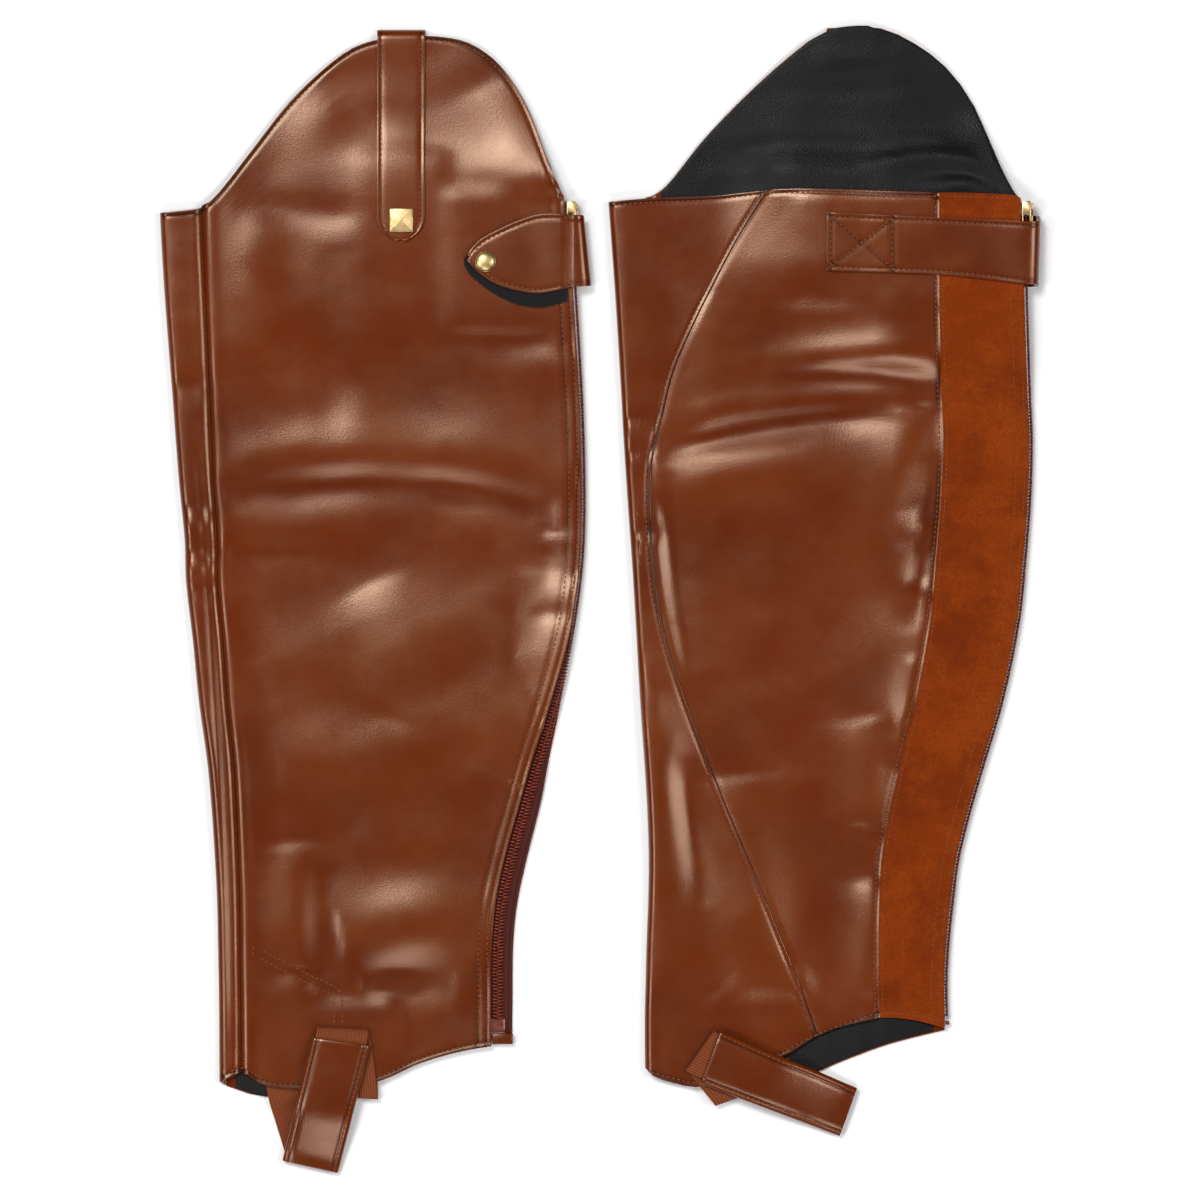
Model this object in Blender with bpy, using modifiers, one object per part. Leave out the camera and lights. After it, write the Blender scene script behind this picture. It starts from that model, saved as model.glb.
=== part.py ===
"""A pair of zipped leather gaiters with raised tops, laid flat side by side.

The left one shows its lateral face, the right one its medial face. In the tables lengths are
in millimetres: x runs from the top of the shin fold towards the zip, and height runs from the
front of the hem up the leg. Each gaiter is a flattened tube: a lower wall that lies on the
surface, an upper wall that lies on it, a shin panel folded round the front edge, and a zip
along the calf edge. Small hard pieces and straps lie under, over and round these walls.
"""

import bisect
import functools
import math
from collections import namedtuple

import bmesh
import bpy
from mathutils import Matrix, Vector
from mathutils.bvhtree import BVHTree

MM = 0.001
LEATHER = 1.6
LINING = 0.8
TAPE = 0.6
COIL_THICK = 1.8
COIL_WIDE = 5.4
STRAP = 2.0
PATCH = 1.2
TAB = 1.5
ELASTIC = 1.0
SLEEVE_WALL = 1.2
SEAM = 0.3
SHOULDER = 400.0
TOP_OF_HEM = 40.0

BODY_GAP = 2.2
EDGE_GAP = 3.8
ZIP_GAP = 3.6
LINING_GAP = 0.5
LEAST_GAP = 1.0
HEM_GAP = 2.6
ROLL = 14.0
GROOVE_WIDE = 1.8
SEAM_FLAT = 0.8
SEAM_ROUND = 2.8
LIFT_SLOPE = 46.0

SNAP_RADIUS = 5.0
SNAP_HIGH = 2.0
STUD_SIDE = 11.0
STUD_HIGH = 3.2
STUD_TIP = 1.6

PLACE = {"left": (-210.51, -231.91), "right": (3.59, -231.91)}
FLOOR = 0.02
UPPER = {"left": "lateral", "right": "medial"}
LOWER = {"left": "medial", "right": "lateral"}

Section = namedtuple("Section", "height fold zip")
SECTIONS = {
    "left": (
        Section(424, 0.0, 197.0),
        Section(410, 0.3, 198.2),
        Section(375, 2.4, 200.2),
        Section(326, 6.2, 203.0),
        Section(288, 9.1, 204.2),
        Section(259, 11.9, 204.0),
        Section(240, 12.5, 202.6),
        Section(211, 15.8, 198.7),
        Section(182, 18.7, 193.9),
        Section(154, 22.6, 187.2),
        Section(134, 24.5, 182.9),
        Section(106, 26.4, 175.7),
        Section(86, 27.4, 171.4),
        Section(67, 27.8, 169.4),
        Section(38, 28.3, 169.0),
        Section(0, 28.5, 168.6),
    ),
    "right": (
        Section(424, 0.2, 201.2),
        Section(374, 3.8, 201.6),
        Section(326, 6.7, 203.2),
        Section(307, 7.7, 204.0),
        Section(278, 9.6, 203.2),
        Section(250, 11.6, 201.0),
        Section(221, 13.4, 198.0),
        Section(182, 15.6, 190.0),
        Section(144, 18.2, 178.8),
        Section(125, 19.2, 173.5),
        Section(106, 19.7, 169.0),
        Section(86, 19.4, 166.4),
        Section(67, 18.7, 164.4),
        Section(48, 18.2, 163.4),
        Section(29, 17.8, 163.7),
        Section(0, 18.0, 164.0),
    ),
}

Seam = namedtuple("Seam", "height away")
CREASE_SEAM = (
    Seam(420, 20.4),
    Seam(366, 19.3),
    Seam(280, 16.3),
    Seam(183, 13.6),
    Seam(86, 10.8),
    Seam(0, 10.5),
)
CURVED_SEAM = (
    Seam(430, 79.0),
    Seam(404, 61.0),
    Seam(382, 47.7),
    Seam(361, 35.9),
    Seam(340, 25.7),
    Seam(317, 18.6),
    Seam(296, 12.8),
    Seam(276, 10.8),
    Seam(253, 9.9),
    Seam(230, 11.2),
    Seam(203, 16.0),
    Seam(148, 32.4),
    Seam(110, 46.4),
    Seam(80, 59.2),
    Seam(47, 73.5),
    Seam(15, 85.5),
)
SUEDE_SEAM = (
    Seam(424, 42.8),
    Seam(326, 43.4),
    Seam(211, 43.6),
    Seam(150, 41.0),
    Seam(86, 36.6),
    Seam(60, 34.4),
    Seam(25, 33.2),
)

Zip = namedtuple("Zip", "height upper_edge lower_edge lie")
ZIPS = {
    "left": (
        Zip(424, 3.8, 3.8, 0.0),
        Zip(410, 3.8, 3.8, 0.0),
        Zip(402, 2.5, 2.5, 0.0),
        Zip(235, 2.6, 2.5, 0.0),
        Zip(211, 3.4, 2.5, 0.1),
        Zip(183, 6.6, 2.2, 0.5),
        Zip(154, 9.0, 1.2, 0.9),
        Zip(130, 10.4, 0.6, 1.0),
        Zip(86, 10.8, 0.4, 1.0),
        Zip(18, 10.2, 0.4, 1.0),
    ),
    "right": (
        Zip(424, 3.8, 3.8, 0.0),
        Zip(410, 3.8, 3.8, 0.0),
        Zip(402, 2.5, 2.5, 0.0),
        Zip(0, 2.5, 2.5, 0.0),
    ),
}

Top = namedtuple("Top", "x left right")
LATERAL_TOP = (
    Top(0, 415.7, 421.0),
    Top(18.5, 417.9, 423.0),
    Top(31.4, 425.8, 429.6),
    Top(49.8, 445.4, 449.5),
    Top(70.9, 471.2, 471.1),
    Top(92.1, 492.3, 492.0),
    Top(103.1, 498.2, 501.3),
    Top(115.0, 500.2, 504.6),
    Top(128.0, 500.2, 503.8),
    Top(142.1, 496.8, 496.6),
    Top(156.8, 485.9, 485.0),
    Top(170.6, 466.6, 467.0),
    Top(184.3, 438.1, 439.5),
    Top(194.5, 422.9, 424.5),
    Top(203.0, 418.5, 420.5),
)
MEDIAL_TOP = (
    Top(0, 415.7, 421.0),
    Top(21.4, 418.0, 422.7),
    Top(49.4, 420.0, 423.8),
    Top(75.4, 422.0, 426.7),
    Top(101.0, 422.5, 427.1),
    Top(135.7, 421.5, 425.6),
    Top(192.0, 420.0, 424.2),
    Top(203.0, 417.0, 420.0),
)

Hem = namedtuple("Hem", "from_fold left right")
LATERAL_HEM = (
    Hem(0, 0.0, 7.0),
    Hem(5, 2.0, 4.0),
    Hem(10.6, 4.8, 4.5),
    Hem(21, -1.4, 1.0),
    Hem(36, -3.4, -1.0),
    Hem(57, -2.9, 0.0),
    Hem(77, 0.7, 3.0),
    Hem(96, 9.0, 10.6),
    Hem(117, 15.0, 18.2),
    Hem(146, 19.5, 25.5),
)
MEDIAL_HEM = (
    Hem(0, 0.0, 7.0),
    Hem(4, -2.0, 2.8),
    Hem(12.5, -5.0, 0.0),
    Hem(22.5, -7.7, -2.2),
    Hem(36, -4.5, -1.0),
    Hem(47, -0.5, 2.5),
    Hem(68, 9.0, 13.4),
    Hem(84.5, 17.5, 21.6),
    Hem(110.6, 25.5, 30.4),
    Hem(128, 25.5, 29.8),
    Hem(146, 21.0, 25.2),
)

Fold = namedtuple("Fold", "from_x from_h mid_x mid_h to_x to_h width rise")
FOLDS = {
    "left": (
        Fold(31, 289, 115, 297, 197, 283, 8, 1.5),
        Fold(31, 282, 115, 288, 190, 277, 6, -1.4),
        Fold(31, 266, 60, 268, 90, 262, 8, 0.8),
        Fold(31, 254, 60, 257, 90, 255, 6, -0.9),
        Fold(142, 355, 170, 354, 197, 356, 6, -0.9),
        Fold(142, 345, 170, 343, 197, 345, 8, 0.9),
        Fold(40, 417, 70, 417, 103, 416, 7, -0.7),
        Fold(85, 396, 83, 350, 84, 302, 7, -0.6),
        Fold(60, 150, 120, 168, 172, 180, 26, 0.9),
        Fold(86, 68, 115, 72, 139, 68, 13, 1.0),
        Fold(96, 50, 116, 54, 137, 51, 9, -1.2),
        Fold(75, 101, 76, 70, 77, 38, 7, -0.8),
        Fold(6, 336, 14, 335, 23, 336, 5, -1.2),
        Fold(8, 277, 16, 276, 25, 276, 5, -1.2),
        Fold(10, 253, 18, 254, 27, 252, 5, -1.3),
        Fold(12, 237, 20, 237, 28, 236, 5, -1.1),
    ),
    "right": (
        Fold(54, 339, 111, 349, 158, 345, 6, 1.3),
        Fold(64, 331, 111, 338, 158, 333, 6, -1.2),
        Fold(40, 316, 92, 329, 146, 325, 7, 1.2),
        Fold(24, 300, 74, 312, 130, 322, 7, -1.6),
        Fold(26, 291, 70, 301, 116, 307, 10, 1.3),
        Fold(143, 320, 138, 292, 113, 256, 10, 1.3),
        Fold(112, 305, 108, 285, 98, 262, 8, -0.6),
        Fold(153, 294, 151, 258, 143, 222, 6, -0.9),
        Fold(28, 290, 31, 250, 40, 200, 6, -1.1),
        Fold(52, 116, 52, 80, 52, 44, 17, 1.2),
        Fold(28, 156, 29, 120, 29, 88, 7, -0.8),
        Fold(116, 168, 118, 150, 116, 132, 10, 0.8),
        Fold(9, 317, 14, 318, 21, 317, 5, -1.0),
        Fold(11, 303, 15, 302, 20, 302, 5, -1.0),
        Fold(13, 264, 16, 264, 20, 263, 5, -1.0),
    ),
}

Press = namedtuple("Press", "from_x to_x from_h to_h gap")
PRESSES = {
    "left": (
        Press(52, 108, -12, 34, HEM_GAP),
        Press(100, 132, 396, 440, BODY_GAP),
        Press(142, 206, 366, 420, 3.0),
    ),
    "right": (
        Press(40, 124, -12, 34, HEM_GAP),
        Press(98, 206, 376, 420, 3.0),
    ),
}

Lift = namedtuple("Lift", "from_x to_x from_h to_h rise")
STRAP_LIFT = STRAP + SEAM
STUD_LIFT = STUD_HIGH + SEAM + TAB + SEAM
FLAP_LIFT = SNAP_HIGH + SEAM + STRAP + SEAM + PATCH + SEAM
LIFTS = {
    "left": (Lift(96, 210, 376, 422, STRAP_LIFT),),
    "right": (
        Lift(96, 136, 395, 425, STUD_LIFT),
        Lift(138, 210, 362, 425, FLAP_LIFT),
        Lift(96, 136, 395, 520, TAB + SEAM),
    ),
}

Spacing = namedtuple("Spacing", "height step")
SPACINGS = {
    "left": (
        Spacing(40, 18),
        Spacing(225, 18),
        Spacing(262, 9),
        Spacing(276, 5),
        Spacing(297, 6),
        Spacing(312, 16),
        Spacing(350, 10),
        Spacing(400, 14),
    ),
    "right": (
        Spacing(40, 18),
        Spacing(235, 17),
        Spacing(290, 11),
        Spacing(305, 6),
        Spacing(350, 6),
        Spacing(366, 14),
        Spacing(400, 14),
    ),
}

Band = namedtuple("Band", "from_zip top bottom")
SEWN_LEG = (
    Band(96.6, 415.7, 387.8),
    Band(70.0, 414.4, 387.0),
    Band(43.7, 413.3, 385.9),
    Band(20.0, 412.2, 383.6),
    Band(3.0, 411.4, 381.4),
)
FLAP = (
    Band(1.0, 414.6, 380.4),
    Band(16.0, 414.9, 377.2),
    Band(27.0, 411.8, 378.2),
    Band(38.0, 406.8, 381.6),
    Band(45.6, 402.4, 386.6),
    Band(49.6, 398.0, 391.0),
    Band(50.8, 395.6, 393.4),
)
FELT = (
    Band(4.0, 404.0, 373.4),
    Band(16.0, 404.0, 370.4),
    Band(26.0, 404.0, 371.4),
    Band(38.3, 402.0, 376.6),
    Band(49.3, 397.4, 385.0),
    Band(53.2, 393.6, 390.6),
)
TURN_REACH = {"left": (7.6, 4.2), "right": (4.6, 5.6)}
TURN_STEPS = 6
TURN_BOXED = 0.47
SNAP_AT = (43.0, 392.2)

Strip = namedtuple("Strip", "height left right")
TABS = {
    "left": Strip(500.6, 103.8, 126.6),
    "right": Strip(504.6, 104.6, 127.4),
}
TAB_END = 414.0
STUD_AT = {"left": (115.6, 412.0), "right": (116.4, 412.0)}

Cross = namedtuple("Cross", "near_x near_h far_x far_h z")
ELASTICS = {
    "left": (
        Cross(49.0, 10.0, 72.9, 17.5, 3.4),
        Cross(51.3, -4.0, 75.2, 3.5, 3.4),
        Cross(52.6, -10.5, 76.4, -3.2, 3.0),
        Cross(54.6, -17.0, 78.6, -9.7, 0.7),
        Cross(59.4, -32.6, 83.6, -28.5, 0.7),
        Cross(60.4, -36.0, 84.8, -39.0, 0.7),
        Cross(60.4, -37.6, 83.4, -41.2, 2.2),
        Cross(60.6, -36.0, 83.4, -39.4, 3.8),
        Cross(61.6, -31.5, 84.2, -36.2, 4.2),
        Cross(63.2, -24.7, 86.0, -29.8, 5.8),
        Cross(65.8, -14.0, 89.0, -18.8, 8.6),
        Cross(67.8, -5.5, 92.0, -10.4, 9.6),
        Cross(74.4, 21.0, 98.6, 17.0, 9.6),
        Cross(75.2, 24.4, 99.6, 22.8, 9.5),
        Cross(75.6, 26.2, 100.0, 25.0, 8.0),
        Cross(76.0, 24.6, 100.4, 23.6, 6.6),
        Cross(78.4, 10.0, 102.7, 8.0, 6.6),
        Cross(80.0, -4.0, 104.2, -5.6, 6.6),
        Cross(80.2, -6.0, 104.4, -7.6, 5.0),
        Cross(80.1, -4.0, 104.3, -5.6, 3.4),
        Cross(80.1, 4.0, 104.0, 8.0, 3.4),
        Cross(79.8, 14.0, 103.2, 20.0, 3.4),
    ),
    "right": (
        Cross(53.0, 2.0, 68.0, 6.0, 3.4),
        Cross(51.3, -8.6, 71.0, -0.9, 3.4),
        Cross(51.4, -10.9, 73.6, -2.6, 5.0),
        Cross(50.1, -9.3, 73.4, -0.5, 6.6),
        Cross(44.7, -2.7, 62.9, 11.5, 6.6),
        Cross(39.3, 4.0, 52.7, 23.0, 6.6),
        Cross(37.6, 5.6, 51.1, 24.7, 8.0),
        Cross(39.7, 4.4, 52.6, 23.7, 9.4),
        Cross(52.2, -0.7, 59.5, 20.1, 9.4),
        Cross(68.8, -7.1, 75.9, 13.1, 9.4),
        Cross(78.8, -10.9, 85.7, 9.0, 9.1),
        Cross(88.7, -14.6, 95.5, 4.8, 7.3),
        Cross(98.7, -18.4, 105.3, 0.6, 5.2),
        Cross(106.7, -21.5, 113.2, -2.8, 3.9),
        Cross(109.7, -22.6, 116.1, -4.0, 3.8),
        Cross(111.0, -23.2, 117.4, -4.6, 2.2),
        Cross(109.7, -22.6, 116.1, -4.0, 0.7),
        Cross(100.0, -19.0, 106.5, 0.2, 1.6),
        Cross(92.0, -16.0, 98.8, 3.2, 3.1),
        Cross(80.0, -3.0, 88.0, 9.5, 3.4),
        Cross(77.0, 3.0, 86.0, 12.0, 3.4),
    ),
}
SLEEVES = {
    "left": (
        Cross(72.7, 21.7, 101.0, 17.8, 7.4),
        Cross(69.2, 6.9, 97.1, 2.5, 7.4),
        Cross(65.9, -6.7, 93.4, -11.6, 7.3),
        Cross(63.9, -15.2, 91.2, -20.4, 6.2),
        Cross(61.4, -25.6, 88.4, -31.2, 3.4),
        Cross(59.7, -32.7, 86.5, -38.5, 1.8),
        Cross(58.6, -37.4, 85.2, -43.4, 1.5),
    ),
    "right": (
        Cross(44.5, -0.5, 54.0, 25.2, 7.4),
        Cross(60.1, -6.4, 69.1, 18.5, 7.4),
        Cross(75.1, -12.1, 83.9, 12.1, 7.2),
        Cross(87.7, -16.9, 96.5, 7.1, 5.2),
        Cross(97.7, -20.7, 106.3, 2.9, 3.0),
        Cross(105.7, -23.8, 114.2, -0.5, 1.7),
        Cross(111.0, -25.8, 119.4, -2.7, 1.5),
    ),
}
SLEEVE_SECTION = (
    (1.0, 0.0),
    (0.98, 0.85),
    (0.9, 1.0),
    (0.0, 1.0),
    (-0.9, 1.0),
    (-0.98, 0.85),
    (-1.0, 0.0),
    (-0.98, -0.85),
    (-0.9, -1.0),
    (0.0, -1.0),
    (0.9, -1.0),
    (0.98, -0.85),
)
SLEEVE_ROOM = 2.0
MOUTH_BACK = 0.8


@functools.lru_cache(maxsize=None)
def columns_of(rows, column):
    """The first column of a table in rising order, and another column beside it."""
    pairs = sorted((row[0], getattr(row, column)) for row in rows)
    return [key for key, _ in pairs], [value for _, value in pairs]


def read(rows, column, at):
    """A table's column at a place between its rows, on a smooth curve, level past its ends."""
    keys, values = columns_of(rows, column)
    if at <= keys[0]:
        return values[0]
    if at >= keys[-1]:
        return values[-1]
    i = bisect.bisect_right(keys, at) - 1
    before, after = max(i - 1, 0), min(i + 2, len(keys) - 1)
    span = keys[i + 1] - keys[i]
    t = (at - keys[i]) / span
    start = (values[i + 1] - values[before]) / (keys[i + 1] - keys[before]) * span
    end = (values[after] - values[i]) / (keys[after] - keys[i]) * span
    return (
        values[i] * (2 * t**3 - 3 * t**2 + 1)
        + start * (t**3 - 2 * t**2 + t)
        + values[i + 1] * (3 * t**2 - 2 * t**3)
        + end * (t**3 - t**2)
    )


def mix(a, b, t):
    return a + (b - a) * t


def ease(t):
    """A smooth step from 0 to 1."""
    t = min(max(t, 0.0), 1.0)
    return t * t * (3 - 2 * t)


def bell(distance, width):
    return math.exp(-((distance / width) ** 2))


def groove_share(distance):
    """How much of a seam's depth is left at a distance from it: all of it beside the stitches."""
    return bell(max(abs(distance) - SEAM_FLAT, 0.0), GROOVE_WIDE)


def outside(box, x, h):
    """How far a point lies outside a named rectangle of x and height."""
    across = max(box.from_x - x, 0.0, x - box.to_x)
    along = max(box.from_h - h, 0.0, h - box.to_h)
    return math.hypot(across, along)


def fold_rise(fold, x, h):
    """Height that one crease adds: a bell across a bent line, fading at both ends."""
    nearest, place = 1e9, 0.0
    steps = 10
    for i in range(steps + 1):
        t = i / steps
        bend_x = 2 * fold.mid_x - (fold.from_x + fold.to_x) / 2
        bend_h = 2 * fold.mid_h - (fold.from_h + fold.to_h) / 2
        line_x = mix(mix(fold.from_x, bend_x, t), mix(bend_x, fold.to_x, t), t)
        line_h = mix(mix(fold.from_h, bend_h, t), mix(bend_h, fold.to_h, t), t)
        away = math.hypot(x - line_x, h - line_h)
        if away < nearest:
            nearest, place = away, t
    return fold.rise * bell(nearest, fold.width) * math.sqrt(max(4 * place * (1 - place), 0.15))


class Gaiter:
    """The edges, seams and faces of one gaiter, worked out from its tables."""

    def __init__(self, side):
        self.side = side
        self.upper = UPPER[side]
        self.lower = LOWER[side]
        self.origin = PLACE[side]
        self.levels = self.spaced_levels()

    def spaced_levels(self):
        levels = [TOP_OF_HEM]
        while levels[-1] < SHOULDER - 3:
            levels.append(levels[-1] + read(SPACINGS[self.side], "step", levels[-1]))
        scale = (SHOULDER - TOP_OF_HEM) / (levels[-1] - TOP_OF_HEM)
        return [TOP_OF_HEM + (level - TOP_OF_HEM) * scale for level in levels]

    def fold(self, h):
        return read(SECTIONS[self.side], "fold", h)

    def zip(self, h):
        return read(SECTIONS[self.side], "zip", h)

    def lie(self, h):
        return read(ZIPS[self.side], "lie", h)

    def panel_edge(self, wall, h):
        """Where a wall ends beside the zip."""
        return self.zip(h) - read(ZIPS[self.side], wall + "_edge", h)

    def seam(self, face, h):
        """Where a face's shin panel ends."""
        rows = CREASE_SEAM if face == "lateral" else CURVED_SEAM
        return self.fold(h) + read(rows, "away", h)

    def suede(self, h):
        return self.zip(h) - read(SUEDE_SEAM, "away", h)

    def top(self, face, x):
        return read(LATERAL_TOP if face == "lateral" else MEDIAL_TOP, self.side, x)

    def hem(self, face, x):
        rows = LATERAL_HEM if face == "lateral" else MEDIAL_HEM
        return read(rows, self.side, x - self.fold(0))

    def lift(self, x, h):
        """How high the underside lies above the surface, over the pieces beneath it."""
        rise = [row.rise * ease(1 - outside(row, x, h) / LIFT_SLOPE) for row in LIFTS[self.side]]
        return max(rise)

    def lower_top(self, x, h):
        return self.lift(x, h) + LEATHER

    def gap(self, x, h):
        """The room between the walls: fuller at both edges, pressed and creased between."""
        from_fold, from_zip = x - self.fold(h), self.zip(h) - x
        room = BODY_GAP
        room += (EDGE_GAP - BODY_GAP) * bell(max(from_fold - EDGE_GAP, 0), ROLL)
        room += (EDGE_GAP - BODY_GAP) * bell(from_zip, ROLL)
        room += sum(fold_rise(fold, x, h) for fold in FOLDS[self.side])
        for press in PRESSES[self.side]:
            room = mix(room, press.gap, ease(1 - outside(press, x, h) / 12))
        room = min(max(room, LEAST_GAP), EDGE_GAP)
        edge = ease(1 - from_zip / 18)
        return mix(room, max(room, ZIP_GAP), edge)

    def groove(self, face, x, h):
        """How far a face sinks at its seams."""
        depth = 1.5 if face == "lateral" else 0.5
        sunk = depth * groove_share(x - self.seam(face, h))
        if face == "medial":
            sunk += 0.4 * groove_share(x - self.suede(h))
        return sunk

    def upper_inside(self, x, h):
        """The inner face of the upper wall."""
        height = self.lower_top(x, h) + self.gap(x, h) - self.groove(self.upper, x, h)
        height = max(height, self.lower_top(x, h) + 0.5)
        if self.upper == "lateral":
            height = mix(height, LINING + LINING_GAP, ease((h - 434) / 50))
        return height

    def world(self, x, h, z):
        return (self.origin[0] + x, self.origin[1] + h, z + FLOOR)

    def heights(self, hem, top, top_rows):
        """A column's heights: short rows to the hem, shared levels, then rows to the top."""
        low = [mix(hem, TOP_OF_HEM, t) for t in (0.0, 0.12, 0.5)]
        high = [mix(SHOULDER, top, (i + 1) / top_rows) for i in range(top_rows)]
        return low + self.levels + high


def finish_material(name, colour, rough, metal=0.0):
    material = bpy.data.materials.new(name)
    material.use_nodes = True
    shader = material.node_tree.nodes["Principled BSDF"]
    shader.inputs["Base Color"].default_value = (*colour, 1)
    shader.inputs["Roughness"].default_value = rough
    shader.inputs["Metallic"].default_value = metal
    material.diffuse_color = (*colour, 1)
    return material


def add_object(name, mesh, material):
    for face in mesh.polygons:
        face.use_smooth = True
    mesh.set_sharp_from_angle(angle=math.radians(40))
    mesh.materials.append(material)
    piece = bpy.data.objects.new(name, mesh)
    bpy.data.collections["gaiters"].objects.link(piece)
    return piece


def sheet(name, rows, thickness, material, facing_down=False, offset=1.0, even=True):
    """A wall: a grid primitive moved to rows of points, then thickened along its normals."""
    mesh = bpy.data.meshes.new(name)
    form = bmesh.new()
    across, along = len(rows[0]) - 1, len(rows) - 1
    bmesh.ops.create_grid(form, x_segments=across, y_segments=along, size=0.5)
    for vert in form.verts:
        i = round((vert.co.x + 0.5) * across)
        j = round((vert.co.y + 0.5) * along)
        vert.co = Vector(rows[j][across - i if facing_down else i]) * MM
    form.to_mesh(mesh)
    form.free()
    piece = add_object(name, mesh, material)
    wall = piece.modifiers.new("Wall", "SOLIDIFY")
    wall.thickness = thickness * MM
    wall.offset = offset
    wall.use_even_offset = even
    return piece


def spaced(start, end, count, near=(), far=()):
    """Places from start to end: given steps near each end and even ones between them."""
    first = [start + step for step in near]
    last = [end - step for step in reversed(far)]
    low = first[-1] if first else start
    high = last[0] if last else end
    middle = [mix(low, high, i / count) for i in range(1, count)]
    return (first or [start]) + middle + (last or [end])


def panel_rows(gaiter, face, left, right, count, near, far, top_rows, height_of):
    """Points of a panel between two edges that are functions of the height."""
    places = spaced(left(5), right(20), count, near, far)
    low_left, low_right = places[0], places[-1]
    width = low_right - low_left
    columns = []
    for place in places:
        share = (place - low_left) / width
        high_x = mix(left(SHOULDER + 20), right(SHOULDER + 20), share)
        column = []
        for h in gaiter.heights(gaiter.hem(face, place), gaiter.top(face, high_x), top_rows):
            wide = right(h) - left(h)
            if share < 0.5 and near:
                x = left(h) + (place - low_left) * mix(1.0, wide / width, min(share * 2, 1))
            elif far:
                x = right(h) - (low_right - place) * mix(1.0, wide / width, min(2 - share * 2, 1))
            else:
                x = left(h) + share * wide
            column.append((x, h))
        columns.append(column)
    return [
        [gaiter.world(x, h, height_of(x, h)) for x, h in row] for row in zip(*columns)
    ]


def shin_panel(gaiter, material):
    """The front panel: from the lower wall's seam, round the fold, to the upper wall's seam."""
    lower_steps, upper_steps, arc_steps = 3, 2, 4
    if gaiter.upper == "medial":
        lower_steps, upper_steps = 2, 5
    fold_top = gaiter.top(gaiter.upper, 0)
    radius = EDGE_GAP / 2

    def column(face, share, before_seam):
        def place(h):
            start = gaiter.fold(h) + LEATHER + radius
            end = gaiter.seam(face, h) - SEAM / 2
            return mix(start, end - SEAM_ROUND, share) if share < 1 else end - before_seam

        return place

    lower = [column(gaiter.lower, 1, 0), column(gaiter.lower, 1, SEAM_FLAT - SEAM / 2)]
    lower += [column(gaiter.lower, 1 - i / lower_steps, 0) for i in range(1, lower_steps)]
    upper = [column(gaiter.upper, i / upper_steps, 0) for i in range(1, upper_steps)]
    upper += [column(gaiter.upper, 1, step) for step in (SEAM_ROUND, SEAM_FLAT - SEAM / 2, 0)]
    stations = [("lower", place) for place in lower]
    stations += [("arc", -90 + 180 * i / arc_steps) for i in range(arc_steps + 1)]
    stations += [("upper", place) for place in upper]
    columns = []
    for kind, where in stations:
        if kind == "arc":
            hem, top = gaiter.hem(gaiter.upper, gaiter.fold(0)), fold_top
        else:
            face = gaiter.upper if kind == "upper" else gaiter.lower
            hem = gaiter.hem(face, where(0))
            top = gaiter.top(face, where(SHOULDER + 20))
        column_points = []
        for h in gaiter.heights(hem, top, 2):
            if kind == "arc":
                turn = math.radians(where)
                centre = gaiter.fold(h) + LEATHER + radius
                x = centre - radius * math.cos(turn)
                middle = gaiter.lower_top(centre, h) + radius
                z = middle + radius * math.sin(turn)
                if where == 90:
                    z = gaiter.upper_inside(x, h)
            else:
                x = where(h)
                low = kind == "lower"
                z = gaiter.lower_top(x, h) if low else gaiter.upper_inside(x, h)
            column_points.append(gaiter.world(x, h, z))
        columns.append(column_points)
    rows = [list(row) for row in zip(*columns)]
    return sheet(gaiter.side + "_shin_panel", rows, LEATHER, material)


def wall_panel(gaiter, name, face, left, right, count, near, far, top_rows, material):
    upper = face == gaiter.upper
    height = gaiter.upper_inside if upper else gaiter.lift
    rows = panel_rows(gaiter, face, left, right, count, near, far, top_rows, height)
    return sheet(f"{gaiter.side}_{name}", rows, LEATHER, material)


def lateral_panel(gaiter, material):
    wall = "upper" if gaiter.upper == "lateral" else "lower"
    near, far = ((0.0, 0.6, 2.4, 6.5), (0.0, 3.0, 9.0)) if wall == "upper" else ((), ())
    count = 8 if wall == "upper" else 9
    return wall_panel(
        gaiter,
        "lateral_panel",
        "lateral",
        lambda h: gaiter.seam("lateral", h) + SEAM / 2,
        lambda h: gaiter.panel_edge(wall, h),
        count,
        near,
        far,
        7,
        material,
    )


def medial_panel(gaiter, material):
    upper = gaiter.upper == "medial"
    near, far = ((0.0, 0.6, 3.0), (0.0, 0.6, 3.0)) if upper else ((), ())
    return wall_panel(
        gaiter,
        "medial_panel",
        "medial",
        lambda h: gaiter.seam("medial", h) + SEAM / 2,
        lambda h: gaiter.suede(h) - SEAM / 2,
        7 if upper else 4,
        near,
        far,
        2,
        material,
    )


def suede_panel(gaiter, material):
    wall = "upper" if gaiter.upper == "medial" else "lower"
    return wall_panel(
        gaiter,
        "suede_panel",
        "medial",
        lambda h: gaiter.suede(h) + SEAM / 2,
        lambda h: gaiter.panel_edge(wall, h),
        3 if wall == "upper" else 2,
        (),
        (),
        2,
        material,
    )


def top_lining(gaiter, material):
    """Lining of the raised top, on the lateral panel's inner face from just inside the tube."""
    wall = "upper" if gaiter.upper == "lateral" else "lower"
    count = 9

    def height(x, h):
        if wall == "upper":
            return gaiter.upper_inside(x, h) - LINING_GAP - LINING
        return gaiter.lower_top(x, h) + 0.4

    rows = panel_rows(
        gaiter,
        "lateral",
        lambda h: gaiter.seam("lateral", h) + 5,
        lambda h: gaiter.panel_edge(wall, h),
        count,
        (),
        (),
        7,
        height,
    )
    return sheet(gaiter.side + "_top_lining", rows[-7:], LINING, material)


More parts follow.
